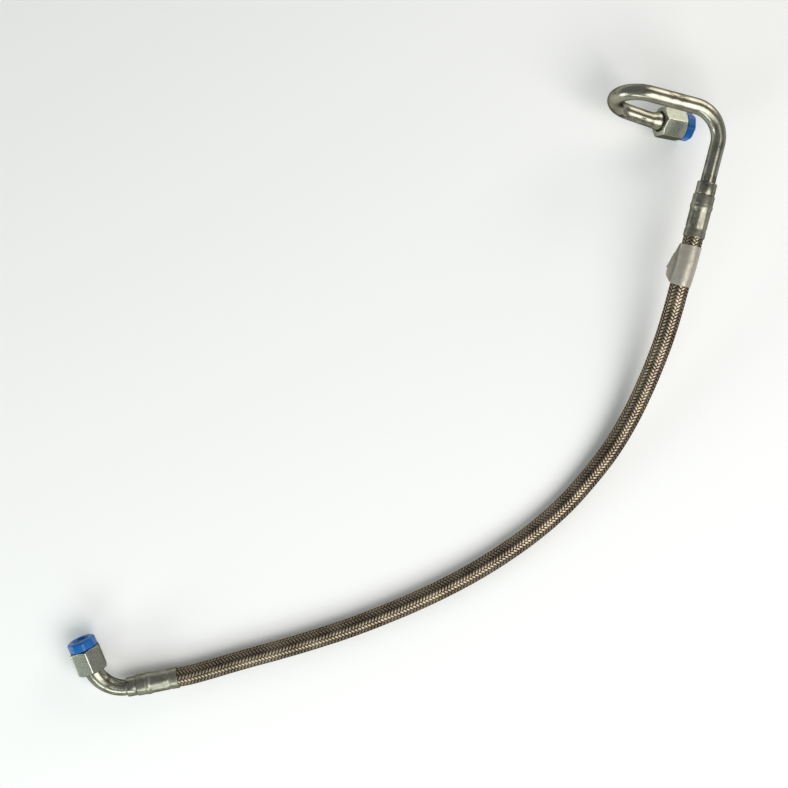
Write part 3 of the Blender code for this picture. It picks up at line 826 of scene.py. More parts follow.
@dataclass
class BraidedHose:
    """The liner's cover and the woven strands between the two ferrules.

    Attributes:
        route: The hose's centre line.
        lay: Length in which a strand goes once round.
        strands: Strands that wind each way.
        wires: Wires side by side in a strand.
        strand_width: Width of a strand.
        middle_radius: Radius at which the two layers of strands meet.
        lift: How far a strand rises and dips from that radius.
        wire_relief: Height of the wires' crowns above the grooves between them.
        crown: How much lower a strand's edges lie than its middle.
        station: Distance between the points along a strand.
        into_ferrule: How far the strands run into each ferrule.
        ground_radius: Radius of the shadowed ground under the strands.
        ground_step: Distance between the ground's rings.
        ground_sides: How many points each of them has.
    """

    route: Route
    lay: float = 27.8 * MM
    strands: int = 12
    wires: int = 7
    strand_width: float = 1.78 * MM
    middle_radius: float = 6.08 * MM
    lift: float = 0.24 * MM
    wire_relief: float = 0.09 * MM
    crown: float = 0.20 * MM
    station: float = 0.58 * MM
    into_ferrule: float = 1.2 * MM
    ground_radius: float = 5.75 * MM
    ground_step: float = 4.0 * MM
    ground_sides: int = 32

    def weave_tree(self) -> bpy.types.NodeTree:
        """Build the Geometry Nodes tree that winds half of the strands of one hand.

        Returns:
            The tree, with a named input for each size.
        """
        tree = bpy.data.node_groups.new("braid_weave", "GeometryNodeTree")
        for kind, names in WEAVE_INPUTS.items():
            for name in names:
                tree.interface.new_socket(name, in_out="INPUT", socket_type=f"NodeSocket{kind}")
        tree.interface.new_socket("Geometry", in_out="OUTPUT", socket_type="NodeSocketGeometry")
        known = dict(add(tree, "NodeGroupInput").node.outputs.items())
        known["index"] = add(tree, "GeometryNodeInputIndex")
        known["number"] = add(
            tree, "GeometryNodeInputNamedAttribute", {"Name": "strand"}, data_type="FLOAT"
        )
        sheet_spot = add(tree, "GeometryNodeInputPosition")
        axes = add(tree, "ShaderNodeSeparateXYZ", (sheet_spot,)).node.outputs
        known["sheet x"], known["sheet y"] = axes["X"], axes["Y"]
        for name, operation, *values in WEAVE_SUMS:
            inputs = [known.get(value, value) for value in values]
            known[name] = add(tree, "ShaderNodeMath", inputs, operation=operation)

        # The flat strands, each with its number
        sheet = add(tree, "GeometryNodeMeshGrid", (1.0, 1.0, known["Stations"], known["columns"]))
        places = add(tree, "GeometryNodePoints", {"Count": known["half"]})
        repeated = add(tree, "GeometryNodeInstanceOnPoints", {"Points": places, "Instance": sheet})
        numbered = add(
            tree,
            "GeometryNodeStoreNamedAttribute",
            {"Geometry": repeated, "Name": "strand", "Value": known["every other"]},
            data_type="FLOAT",
            domain="INSTANCE",
        )
        woven = add(tree, "GeometryNodeRealizeInstances", {"Geometry": numbered})

        # How lit and bare each point is, which paints shade in the dips and at the edges, and its surface
        # coordinates, kept before the sheet is wound
        spot = add(tree, "ShaderNodeCombineXYZ", (known["across"], known["run"], 0.0))
        in_mm = add(tree, "ShaderNodeVectorMath", (spot, (1 / MM, 1 / MM, 0.0)), operation="MULTIPLY")
        for name, value, kind, domain in (
            ("height", known["clean_and_lit"], "FLOAT", "POINT"),
            (SURFACE, in_mm, "FLOAT2", "CORNER"),
        ):
            woven = add(
                tree,
                "GeometryNodeStoreNamedAttribute",
                {"Geometry": woven, "Name": name, "Value": value},
                data_type=kind,
                domain=domain,
            )

        # Each point's place round the centre line
        sampled = {"Curves": known["Geometry"], "Length": known["distance"]}
        line = add(tree, "GeometryNodeSampleCurve", sampled, mode="LENGTH").node.outputs
        level = line["Normal"]
        upward = add(tree, "ShaderNodeVectorMath", (line["Tangent"], level), operation="CROSS_PRODUCT")
        place = line["Position"]
        for way, reach in ((level, known["level reach"]), (upward, known["upward reach"])):
            out = add(tree, "ShaderNodeVectorMath", {"Vector": way, "Scale": reach}, operation="SCALE")
            place = add(tree, "ShaderNodeVectorMath", (place, out), operation="ADD")
        for kind, inputs in (
            ("GeometryNodeSetPosition", {"Position": place}),
            ("GeometryNodeFlipFaces", {}),
            ("GeometryNodeMergeByDistance", {"Distance": STRAND_SEAM}),
            ("GeometryNodeSetShadeSmooth", {"Shade Smooth": True}),
            ("GeometryNodeRealizeInstances", {}),
            ("GeometryNodeSetMaterial", {"Material": known["Material"]}),
        ):
            woven = add(tree, kind, {0: woven, **inputs})
        result = tree.nodes.new("NodeGroupOutput")
        join(result, (woven,))
        return tree

    def centre_line(self) -> bpy.types.Object:
        """Lay the hose's centre line as a curve that runs a little way into both ferrules.

        Returns:
            The curve's object.
        """
        curve = bpy.data.curves.new("hose_centre_line", "CURVE")
        curve.dimensions = "3D"
        curve.twist_mode = "Z_UP"
        lead = 2 * self.into_ferrule
        points = [self.route.at(-lead), *self.route.points, self.route.at(self.route.length + lead)]
        spline = curve.splines.new("POLY")
        spline.points.add(len(points) - 1)
        for held, point in zip(spline.points, points):
            held.co = (*point, 1.0)
        return show("hose_centre_line", curve)

    def weave(
        self, tree: bpy.types.NodeTree, line: bpy.types.Object, hand: Hand, first: int
    ) -> bpy.types.Object:
        """Wind every other strand of one hand and keep them as a plain mesh.

        Args:
            tree: The tree that winds strands.
            line: The hose's centre line.
            hand: Which way the strands wind.
            first: The first strand's number, 0 or 1.

        Returns:
            The woven piece.
        """
        turn, over = hand.value
        length = self.route.length + 2 * self.into_ferrule
        values = {
            "Lay": self.lay, "Hand": turn, "Over": over, "Strand width": self.strand_width,
            "Middle radius": self.middle_radius, "Lift": self.lift, "Wire relief": self.wire_relief,
            "Crown": self.crown, "Start": self.into_ferrule, "Length": length,
            "Strands": self.strands, "First strand": first, "Wires": self.wires,
            "Stations": round(length / self.station), "Material": Finish.BRAID_WIRE.material(),
        }
        winding = line.modifiers.new("weave", "NODES")
        winding.node_group = tree
        for item in tree.interface.items_tree:
            if item.in_out == "INPUT" and item.name in values:
                winding[item.identifier] = values[item.name]
        line.update_tag()
        graph = bpy.context.evaluated_depsgraph_get()
        mesh = bpy.data.meshes.new_from_object(line.evaluated_get(graph), depsgraph=graph)
        line.modifiers.remove(winding)
        mesh.name = f"braid_{hand.name.lower()}_strands_{('even', 'odd')[first]}"
        return show(mesh.name, mesh)

    def ground(self) -> bpy.types.Object:
        """Lay the shadowed ground under the strands, the length of the hose.

        Returns:
            The ground.
        """
        count = round(self.route.length / self.ground_step)
        radius, sides = self.ground_radius, self.ground_sides
        stations = [self.route.length * row / count for row in range(count + 1)]
        rings = [ring_points(self.route.frame(place), radius, radius, sides) for place in stations]
        spots = [ring_spots(radius, place, sides) for place in stations]
        return skin("braid_ground", rings, spots, False)

    def build(self, label: bpy.types.Object) -> None:
        """Args:
            label: The label that is wrapped round it.
        """
        ground = dress(self.ground(), Finish.BRAID_GROUND, "braid", HOSE_BODY, "braid_sleeve")
        carried = [label, refinish("hose_liner", Finish.LINER)]
        line = self.centre_line()
        tree = self.weave_tree()
        for hand in Hand:
            for first in (0, 1):
                strands = self.weave(tree, line, hand, first)
                dress(strands, Finish.BRAID_WIRE, "braid", HOSE_BODY, "braid_sleeve")
                carried.append(strands)
        bpy.data.objects.remove(line, do_unlink=True)
        tuple(self.route.at(0.0))
        [tuple(point) for point in self.route.points]


@dataclass
class IdentityLabel:
    """The label wrapped round the hose, its two ends pressed together as a tab.

    Attributes:
        route: The hose's centre line.
        start: Distance of the label's near edge from the mouth of ferrule A.
        length: Width of the film along the hose.
        thickness: Thickness of the film.
        slack: Gap between the hose and the film.
        gap_share: Half the gap between the tab's layers, as a share of the thickness.
        tab_angle: Angle of the tab from the level across the hose.
        upper_edge: How far the tab's upper layer reaches from the hose.
        lower_edge: The same for the lower layer.
        crease: Depth of the film's soft creases.
        crease_spacing: Distance between them.
        rows: Rows of faces along the hose.
        arc_steps: Faces round the hose.
        tab_steps: Faces across each layer of the tab.
    """

    route: Route
    start: float = 5.6 * MM
    length: float = 26.0 * MM
    thickness: float = 0.18 * MM
    slack: float = 0.15 * MM
    gap_share: float = 0.75
    tab_angle: float = math.radians(194.0)
    upper_edge: Marks = (
        (0.0, 0.5 * MM), (0.25, 2.3 * MM), (0.28, 2.9 * MM), (0.67, 5.2 * MM),
        (0.72, 3.7 * MM), (0.86, 3.4 * MM), (1.0, 0.4 * MM),
    )
    lower_edge: Marks = (
        (0.0, 0.3 * MM), (0.30, 1.9 * MM), (0.60, 3.5 * MM), (0.74, 4.3 * MM),
        (0.87, 3.8 * MM), (1.0, 0.6 * MM),
    )
    crease: float = 0.10 * MM
    crease_spacing: float = 4.5 * MM
    rows: int = 52
    arc_steps: int = 64
    tab_steps: int = 6

    def section(self, share: float) -> list[tuple[float, float]]:
        """Draw the label's section, the tab along +X.

        Args:
            share: The share of the label's length.

        Returns:
            The section's points, from the upper layer's edge to the lower one's.
        """
        radius = HOSE_OD / 2 + self.slack + self.thickness
        gap = self.thickness * self.gap_share
        start = math.asin(gap / radius)
        upper = radius + between(self.upper_edge, share)
        lower = radius + between(self.lower_edge, share)
        steps = [step / self.tab_steps for step in range(self.tab_steps)]
        root = radius * math.cos(start)
        points = [(upper + (root - upper) * step, gap + gap * (1 - step)) for step in steps]
        for step in range(self.arc_steps + 1):
            angle = start + (2 * math.pi - 2 * start) * step / self.arc_steps
            points.append((radius * math.cos(angle), radius * math.sin(angle)))
        points += [(lower + (root - lower) * step, -gap) for step in reversed(steps)]
        return points

    def build(self) -> bpy.types.Object:
        """Make the label.

        Returns:
            The label.
        """
        build = bmesh.new()
        towards_tab = Matrix.Rotation(self.tab_angle, 4, "Z")
        grid = []
        for row in range(self.rows + 1):
            share = row / self.rows
            place = self.route.frame(self.start + self.length * share) @ towards_tab
            ring = []
            for x, y in self.section(share):
                point = place @ Vector((x, y, 0))
                outward = (point - place.translation).normalized()
                soft = max(0.0, noise.noise(point / self.crease_spacing))
                ring.append(build.verts.new(point + outward * self.crease * soft))
            grid.append(ring)
        for upper, lower in zip(grid, grid[1:]):
            for i in range(len(upper) - 1):
                face = build.faces.new((upper[i], upper[i + 1], lower[i + 1], lower[i]))
                face.smooth = True
        mesh = bpy.data.meshes.new("identity_label")
        build.to_mesh(mesh)
        build.free()
        label = show("identity_label", mesh)
        film = label.modifiers.new("film", "SOLIDIFY")
        film.thickness = self.thickness
        film.offset = -1.0
        return dress(label, Finish.LABEL, "label", HOSE_BODY, "id_label")


@dataclass
class CrimpFerrule:
    """A ferrule crimped on the hose by eight jaws.

    Attributes:
        suffix: The end that it belongs to.
        mouth: The frame at its mouth, Z outward along the fitting.
        first_jaw: Angle of the first jaw's middle.
        band_radius: Radius of the mouth band and of the end band.
        flat_radius: Distance of the jaws' flats from the axis.
        ring_radius: Radius of the raised ring.
        groove_depth: Depth of the groove behind the mouth band.
        mouth_band: Length of the mouth band.
        groove_width: Width of the groove.
        crimp_length: Length of the crimped body.
        ring_length: Length of the raised ring.
        ring_steps: Steps over the raised ring.
        lead_in: Length in which the crimped body rises to the raised ring.
        groove_rise: Length in which it rises out of the groove.
        rim: How far the end band's edge is rounded.
        soft: How far the small edges are rounded.
        jaws: How many jaws crimped it.
    """

    suffix: str
    mouth: Matrix
    first_jaw: float
    band_radius: float = 6.95 * MM
    flat_radius: float = 6.62 * MM
    ring_radius: float = 7.32 * MM
    groove_depth: float = 0.30 * MM
    mouth_band: float = 4.4 * MM
    groove_width: float = 1.3 * MM
    crimp_length: float = 12.2 * MM
    ring_length: float = 3.0 * MM
    ring_steps: int = 6
    lead_in: float = 1.4 * MM
    groove_rise: float = 1.0 * MM
    rim: float = 0.35 * MM
    soft: float = 0.12 * MM
    jaws: int = 8

    def jaw_radius(self, turn: float) -> float:
        """Find the crimped radius; a low ridge stays between two jaws.

        Args:
            turn: The angle round the axis.

        Returns:
            The radius at that angle.
        """
        pitch = 2 * math.pi / self.jaws
        off = (turn - self.first_jaw + pitch / 2) % pitch - pitch / 2
        return min(self.band_radius - self.soft / 2, self.flat_radius / math.cos(off))

    def outline(self, turn: float) -> Outline:
        """Draw the ferrule's outline, from its end wall round to its bore.

        Args:
            turn: The angle round the axis.

        Returns:
            The outline at that angle.
        """
        band, ring, soft = self.band_radius, self.ring_radius, self.soft
        groove = band - self.groove_depth
        crimp_start = self.mouth_band + self.groove_width
        ring_start = crimp_start + self.crimp_length
        ring_end = ring_start + self.ring_length
        jaw = self.jaw_radius(turn)
        # End band
        points = [
            (band - self.rim, FERRULE_LENGTH),
            (band - soft, FERRULE_LENGTH - 0.08 * MM),
            (band, FERRULE_LENGTH - self.rim),
            (band, ring_end + 0.9 * MM),
            (band + 0.08 * MM, ring_end + 0.6 * MM),
        ]
        # Raised ring
        for step in range(self.ring_steps + 1):
            share = step / self.ring_steps
            height = ring_end + 0.4 * MM - (self.ring_length + 0.2 * MM) * share
            points.append((band + (ring - band) * math.sin(math.pi * share) ** 0.6, height))
        # Crimped body, down into the groove
        for share in (0.15, 0.5, 0.85, 1.0):
            points.append((band + (jaw - band) * eased(share), ring_start - self.lead_in * share))
        points.append((jaw, (crimp_start + ring_start) / 2))
        for share in (1.0, 0.5, 0.0):
            height = crimp_start + self.groove_rise * share
            points.append((groove + (jaw - groove) * eased(share), height))
        # Mouth band with its rolled lip, then the bore
        points += [
            (groove, self.mouth_band + 0.45 * MM),
            (band - soft, self.mouth_band + soft),
            (band, self.mouth_band - 0.25 * MM),
            (band, 0.9 * MM),
            (band + soft, 0.45 * MM),
            (band + 0.05 * MM, soft),
            (band - soft, 0.0),
            (HOSE_OD / 2 + 0.10 * MM, 0.0),
            (HOSE_OD / 2 + 0.06 * MM, 0.25 * MM),
            (HOSE_OD / 2 + 0.04 * MM, 1.4 * MM),
            (FERRULE_BORE / 2, 2.6 * MM),
            (FERRULE_BORE / 2, FERRULE_LENGTH - FERRULE_END_WALL),
            (NECK_OD / 2 + FIT, FERRULE_LENGTH - FERRULE_END_WALL),
            (NECK_OD / 2 + FIT, FERRULE_LENGTH),
        ]
        return points

    def build(self) -> None:
        """Make the ferrule."""
        name = f"ferrule_{self.suffix}"
        piece = turned(f"crimped_{name}", self.mouth, self.outline, JAW_STEPS)
        dress(piece, Finish.CRIMPED_STEEL, "ferrule", HOSE_BODY, name)


@dataclass
class HoseInsert:
    """The barbed stem inside the hose with its collar brazed round the tube.

    Attributes:
        suffix: The end that it belongs to.
        mouth: The frame at the ferrule's mouth.
        collar_length: Length of the collar that shows behind the ferrule.
        collar_radius: Radius of the collar.
        stem_radius: Radius of the stem on its barbs.
        stem_bore: Bore of the stem.
        shoulder_slope: Length in which the shoulder narrows to the stem.
        barbs: How many barbs it has.
        barb_depth: Depth of the steps behind the barbs.
        braze_gap: Gap between the collar and the tube, filled by the braze.
    """

    suffix: str
    mouth: Matrix
    collar_length: float
    collar_radius: float = 6.35 * MM
    stem_radius: float = 3.7 * MM
    stem_bore: float = 5.6 * MM
    shoulder_slope: float = 1.0 * MM
    barbs: int = 4
    barb_depth: float = 0.3 * MM
    braze_gap: float = 0.04 * MM

    def outline(self, _turn: float) -> Outline:
        """Draw the insert's outline, the same at every angle.

        Args:
            _turn: The angle round the axis.

        Returns:
            The outline.
        """
        collar, stem = self.collar_radius, self.stem_radius
        tube = TUBE_OD / 2 + self.braze_gap
        end = COLLAR_START + self.collar_length
        shoulder = FERRULE_LENGTH - FERRULE_END_WALL - FIT
        barbs_end = shoulder - self.shoulder_slope
        points = [
            (tube, end + 0.35 * MM),
            (TUBE_OD / 2 + 0.30 * MM, end + 0.12 * MM),
            (collar - 0.65 * MM, end),
            (collar - 0.25 * MM, end - 0.10 * MM),
            (collar, end - 0.55 * MM),
            (collar, COLLAR_START + 0.35 * MM),
            (collar - 0.12 * MM, COLLAR_START + 0.08 * MM),
            (collar - 0.35 * MM, COLLAR_START),
            (NECK_OD / 2, COLLAR_START),
            (NECK_OD / 2, shoulder),
            (stem, barbs_end),
        ]
        pitch = (barbs_end - FIT) / (self.barbs + 1)
        for barb in range(self.barbs):
            top = barbs_end - pitch * (barb + 0.5)
            points += [
                (stem, top),
                (stem - self.barb_depth, top - pitch * 0.2),
                (stem, top - pitch * 0.8),
            ]
        ledge = COLLAR_START + SOCKET_LEDGE
        bore = self.stem_bore / 2
        points += [(stem, FIT), (bore, FIT), (bore, ledge), (tube, ledge)]
        return points

    def build(self) -> None:
        """Make the insert."""
        name = f"hose_insert_{self.suffix}"
        piece = turned(f"turned_{name}", self.mouth, self.outline)
        dress(piece, Finish.TURNED_STEEL, "fitting", HOSE_BODY, name)


@dataclass(frozen=True)
class Bend:
    """One bend of a tube.

    Attributes:
        angle: How far it turns.
        roll: How far the bend's plane is rolled from the last one.
        radius: Radius of the bend's centre line.
    """

    angle: float
    roll: float
    radius: float


@dataclass
class BentTube:
    """A bent steel tube; its section is slightly oval, as pressed by the bending tool.

    Attributes:
        name: The CAD node that it replaces.
        mouth: The frame at the ferrule's mouth.
        runs: Straight lengths and bends, in order.
        end_radius: Outer radius at the nut's end.
        ovals: How much wider than high the tube is along its length.
        step: Angle between two rings in a bend.
        straight_step: Distance between two rings on a straight length.
        full_at: Share of the length at which the end's radius is reached.
        sides: How many points a ring has.
    """

    name: str
    mouth: Matrix
    runs: list[float | Bend]
    end_radius: float
    ovals: Marks
    step: float = math.radians(2.5)
    straight_step: float = 3.0 * MM
    full_at: float = 1 / 1.05
    sides: int = 56

    def frames(self) -> list[Matrix]:
        """Lay the frames along the tube.

        Returns:
            The frames, Z forward.
        """
        frames = [self.mouth @ Matrix.Translation((0, 0, TUBE_START))]
        for run in self.runs:
            start = frames[-1]
            if isinstance(run, Bend):
                out = Matrix.Translation((run.radius, 0, 0))
                centre = start @ Matrix.Rotation(run.roll, 4, "Z") @ out
                back = Matrix.Translation((-run.radius, 0, 0))
                count = max(1, math.ceil(run.angle / self.step))
                for i in range(1, count + 1):
                    frames.append(centre @ Matrix.Rotation(run.angle * i / count, 4, "Y") @ back)
            else:
                count = max(1, math.ceil(run / self.straight_step))
                for i in range(1, count + 1):
                    frames.append(start @ Matrix.Translation((0, 0, run * i / count)))
        return frames

    def build(self) -> None:
        """Make the tube: its outer wall, then back down its bore."""
        frames = self.frames()
        marks = [0.0]
        for a, b in zip(frames, frames[1:]):
            marks.append(marks[-1] + (b.translation - a.translation).length)
        growth = self.end_radius - TUBE_OD / 2
        stations = list(zip(frames, marks))
        walls = [(0.0, station) for station in stations]
        walls += [(TUBE_WALL, station) for station in reversed(stations)]
        rings, spots = [], []
        run = previous = 0.0
        for wall, (held, mark) in walls:
            share = mark / marks[-1]
            radius = TUBE_OD / 2 + growth * min(1.0, share / self.full_at) - wall
            oval = between(self.ovals, share)
            level = frame_along(held.translation, held.col[2].xyz)
            rings.append(ring_points(level, radius * oval, radius / oval, self.sides))
            run += abs(mark - previous)
            previous = mark
            spots.append(ring_spots(TUBE_OD / 2, run, self.sides))
        spots.append(spots[0])
        piece = skin(f"bent_{self.name}", rings, spots, True)
        dress(piece, Finish.DRAWN_TUBE, "tube", HOSE_BODY, self.name)


@dataclass
class ConeNipple:
    """The cone nipple that the nut pulls on, at the tube's end.

    Attributes:
        suffix: The end that it belongs to.
        seat: The frame at the nut's back face.
        sleeved: Whether it sleeves the tube or has a spigot inside it.
        collar_radius: Radius of the collar that the nut bears on.
        retaining_step: Height of the step between the collar and the cone.
        collar_start: Height of the collar above the nut's back face.
        collar_length: Length of the collar.
        cone_length: Length of the cone.
        cone_angle: Angle of the cone's side from the axis.
        bore_radius: Radius of the bore.
        tube_depth: Height of the tube's end in a sleeved nipple.
        sleeve_radius: Radius of the sleeve.
        sleeve_behind_nut: Length of the sleeve that shows behind the nut.
        sleeve_taper: Length in which the sleeve tapers to the tube.
        sleeve_steps: Steps down the taper.
        spigot_radius: Radius of the spigot.
        spigot_length: Length of the spigot.
        seal_radius: Radius of the ring seal's section.
        seal_share: Place of the ring seal, as a share of the cone.
    """

    suffix: str
    seat: Matrix
    sleeved: bool
    collar_radius: float = 7.2 * MM
    retaining_step: float = 0.5 * MM
    collar_start: float = NUT_BACK_WALL + FIT
    collar_length: float = 1.8 * MM
    cone_length: float = 4.4 * MM
    cone_angle: float = math.radians(12.0)
    bore_radius: float = 4.0 * MM
    tube_depth: float = 3.6 * MM
    sleeve_radius: float = 6.1 * MM
    sleeve_behind_nut: float = 6.5 * MM
    sleeve_taper: float = 5.6 * MM
    sleeve_steps: int = 6
    spigot_radius: float = 4.9 * MM
    spigot_length: float = 3.0 * MM
    seal_radius: float = 0.55 * MM
    seal_share: float = 0.45

    def cone(self, height: float) -> float:
        """Return the cone's radius at a height."""
        rise = height - self.collar_start - self.collar_length
        return self.collar_radius - self.retaining_step - rise * math.tan(self.cone_angle)

    def outline(self, _turn: float) -> Outline:
        """Draw the nipple's outline, the same at every angle.

        Args:
            _turn: The angle round the axis.

        Returns:
            The outline.
        """
        collar_end = self.collar_start + self.collar_length
        end = collar_end + self.cone_length
        seal = collar_end + self.cone_length * self.seal_share
        half = self.seal_radius + FIT
        floor = self.cone(seal) - half
        points = [
            (self.cone(end), end),
            (self.cone(seal + half), seal + half),
            (floor, seal + half),
            (floor, seal - half),
            (self.cone(seal - half), seal - half),
            (self.cone(collar_end), collar_end),
            (self.collar_radius, collar_end),
            (self.collar_radius, self.collar_start),
        ]
        if self.sleeved:
            back = -self.sleeve_behind_nut
            tube, thin = TUBE_OD / 2, 0.02 * MM
            points.append((self.sleeve_radius, self.collar_start))
            for step in range(self.sleeve_steps + 1):
                share = step / self.sleeve_steps
                radius = self.sleeve_radius - (self.sleeve_radius - tube - 3 * thin) * eased(share)
                points.append((radius, back + self.sleeve_taper * (1 - share)))
            points += [
                (tube + thin, back - thin),
                (tube + thin, self.tube_depth + FIT),
                (self.bore_radius, self.tube_depth + FIT),
            ]
        else:
            back = self.collar_start - self.spigot_length
            points += [
                (self.spigot_radius, self.collar_start),
                (self.spigot_radius, back),
                (self.bore_radius, back),
            ]
        points.append((self.bore_radius, end))
        return points

    def build(self) -> None:
        """Make the nipple and finish its ring seal."""
        name = f"cone_nipple_{self.suffix}"
        piece = turned(f"turned_{name}", self.seat, self.outline)
        finish = Finish.DRAWN_TUBE if self.sleeved else Finish.TURNED_STEEL
        dress(piece, finish, "fitting", HOSE_BODY, name)
        refinish(f"ring_seal_{self.suffix}", Finish.SEAL_RUBBER)


def prism_radius(turn: float, sides: int, flat: float, land: float) -> float:
    """Find the radius of a prism with a corner at angle 0 and slightly rounded corners.

    Args:
        turn: The angle from the first corner.
        sides: How many flats the prism has.
        flat: Distance of the flats from the axis.
        land: How much of each corner is rounded away.

    Returns:
        The radius at that angle.
    """
    pitch = 2 * math.pi / sides
    off = turn % pitch - pitch / 2
    return min(flat / math.cos(off), flat / math.cos(pitch / 2) - land)


def thread_rows(start: float, end: float, turn: float, root: float, crest: float) -> Outline:
    """Draw a screw thread's outline.

    Args:
        start: The height of the first row.
        end: The height of the last row.
        turn: The angle round the axis.
        root: The radius between the ridges.
        crest: The radius on the ridges.

    Returns:
        The rows at that angle, from start to end.
    """
    count = round(abs(end - start) * THREAD_STEPS / THREAD_PITCH)
    rows = []
    for row in range(count + 1):
        height = start + (end - start) * row / count
        phase = (height / THREAD_PITCH + turn / (2 * math.pi)) % 1.0
        rise = THREAD_SLOPE * (0.5 - abs(phase - 0.5)) - THREAD_ROOT_WIDTH
        ridge = min(1.0, max(0.0, rise))
        fade = min(1.0, 2 * min(row, count - row) / THREAD_STEPS)
        rows.append((root + (crest - root) * ridge * fade, height))
    return rows


@dataclass
class SwivelNut:
    """A hexagonal swivel nut, chamfered at both faces and threaded inside.

    Attributes:
        suffix: The end that it belongs to.
        seat: The frame at its back face.
        roll: Angle of its first corner from the top.
        front_chamfer: Angle of the chamfer at its mouth.
        front_inset: How far inside the flats the front chamfer starts.
        back_chamfer: Angle of the larger chamfer at its back.
        back_inset: How far inside the flats the back chamfer starts.
        corner_land: How much of each corner is rounded away.
        edge: How far its edges are rounded.
        hole_edge: How far the edge of the back hole is cut.
        mouth_edge: How far the edge of the threaded bore is cut.
        thread_start: Distance of the thread from the back wall.
        thread_end: Distance of the thread from the mouth.
        thread_depth: Depth of the thread.
    """

    suffix: str
    seat: Matrix
    roll: float
    front_chamfer: float = math.radians(30.0)
    front_inset: float = 0.25 * MM
    back_chamfer: float = math.radians(35.0)
    back_inset: float = 0.5 * MM
    corner_land: float = 0.16 * MM
    edge: float = 0.12 * MM
    hole_edge: float = 0.25 * MM
    mouth_edge: float = 0.55 * MM
    thread_start: float = 2.2 * MM
    thread_end: float = 0.6 * MM
    thread_depth: float = 0.5 * MM

    def outline(self, turn: float) -> Outline:
        """Draw the nut's outline: front, side, back, bore and thread.

        Args:
            turn: The angle round the axis.

        Returns:
            The outline at that angle.
        """
        flat = NUT_ACROSS_FLATS / 2
        radius = prism_radius(turn - self.roll, 6, flat, self.corner_land)
        front_start = flat - self.front_inset
        back_start = flat - self.back_inset
        front = NUT_LENGTH - (radius - front_start) * math.tan(self.front_chamfer)
        back = (radius - back_start) * math.tan(self.back_chamfer)
        bore, hole, edge = NUT_BORE / 2, NUT_HOLE / 2, self.edge
        points = [
            (bore + self.mouth_edge, NUT_LENGTH),
            (front_start - edge, NUT_LENGTH),
            (front_start + 0.3 * edge, NUT_LENGTH - 0.25 * edge),
            (radius - 0.5 * edge, front + 0.2 * edge),
            (radius, front - edge),
            (radius, front - 3 * edge),
            (radius, back + 3 * edge),
            (radius, back + edge),
            (radius - 0.5 * edge, back - 0.3 * edge),
            (back_start + 0.3 * edge, 0.3 * edge),
            (back_start - edge, 0.0),
            (hole + self.hole_edge, 0.0),
            (hole, self.hole_edge),
            (hole, NUT_BACK_WALL),
            (bore, NUT_BACK_WALL),
        ]
        start, end = NUT_BACK_WALL + self.thread_start, NUT_LENGTH - self.thread_end
        return points + thread_rows(start, end, turn, bore, bore + self.thread_depth)

    def build(self) -> None:
        """Make the nut."""
        name = f"swivel_nut_{self.suffix}"
        piece = turned(f"plated_{name}", self.seat, self.outline, FLAT_STEPS)
        dress(piece, Finish.ZINC_PLATED, "nut", f"nut_{self.suffix}", name)


@dataclass
class ProtectivePlug:
    """A moulded plug with an eight-sided head and a screwed shank.

    Attributes:
        suffix: The end that it belongs to.
        mouth: The frame at the nut's mouth.
        roll: Angle of the head's first corner from the top.
        head_flat: Distance of the head's flats from the axis.
        head_height: Height of the head.
        edge_round: Radius of the head's outer edge.
        edge_steps: Steps round that edge.
        foot_round: Radius of the head's edge on the nut.
        corner_land: How much of each corner is rounded away.
        recess_radius: Radius of the recess in the head's face.
        recess_depth: Depth of the recess.
        shank_radius: Radius of the shank on its thread.
        shank_length: Length of the shank.
        bare_tip: Length of the shank's tip that has no thread.
        tip_cut: How far the tip's edge is cut.
        thread_depth: Depth of the thread.
    """

    suffix: str
    mouth: Matrix
    roll: float
    head_flat: float = 9.1 * MM
    head_height: float = 6.3 * MM
    edge_round: float = 1.7 * MM
    edge_steps: int = 6
    foot_round: float = 0.35 * MM
    corner_land: float = 0.36 * MM
    recess_radius: float = 5.4 * MM
    recess_depth: float = 1.6 * MM
    shank_radius: float = 7.2 * MM
    shank_length: float = 5.4 * MM
    bare_tip: float = 1.0 * MM
    tip_cut: float = 0.6 * MM
    thread_depth: float = 0.45 * MM

    def outline(self, turn: float) -> Outline:
        """Draw the plug's outline, from the recess round to the shank's foot.

        Args:
            turn: The angle round the axis.

        Returns:
            The outline at that angle.
        """
        radius = prism_radius(turn - self.roll, 8, self.head_flat, self.corner_land)
        top = FIT + self.head_height
        rim, foot, recess = self.edge_round, self.foot_round, self.recess_radius
        points = [
            (0.0, top - self.recess_depth),
            (recess - 0.8 * MM, top - self.recess_depth),
            (recess - 0.3 * MM, top - self.recess_depth + 0.25 * MM),
            (recess, top - 0.60 * MM),
            (recess + 0.2 * MM, top - 0.22 * MM),
            (recess + 0.7 * MM, top - 0.02 * MM),
        ]
        for step in range(self.edge_steps + 1):
            sweep = math.pi / 2 * step / self.edge_steps
            points.append((radius - rim + rim * math.sin(sweep), top - rim + rim * math.cos(sweep)))
        root = self.shank_radius - self.thread_depth
        points += [
            (radius, top - rim - foot),
            (radius, FIT + 2 * foot),
            (radius, FIT + foot),
            (radius - 0.3 * foot, FIT + 0.3 * foot),
            (radius - foot, FIT),
            (root, FIT),
        ]
        points += thread_rows(0.0, self.bare_tip - self.shank_length, turn, root, self.shank_radius)
        points += [(root - self.tip_cut, -self.shank_length), (0.0, -self.shank_length)]
        return points

    def build(self) -> None:
        """Make the plug."""
        name = f"plug_{self.suffix}"
        piece = turned(f"moulded_{name}", self.mouth, self.outline, FLAT_STEPS)
        dress(piece, Finish.PLUG_PLASTIC, "plug", name, name)


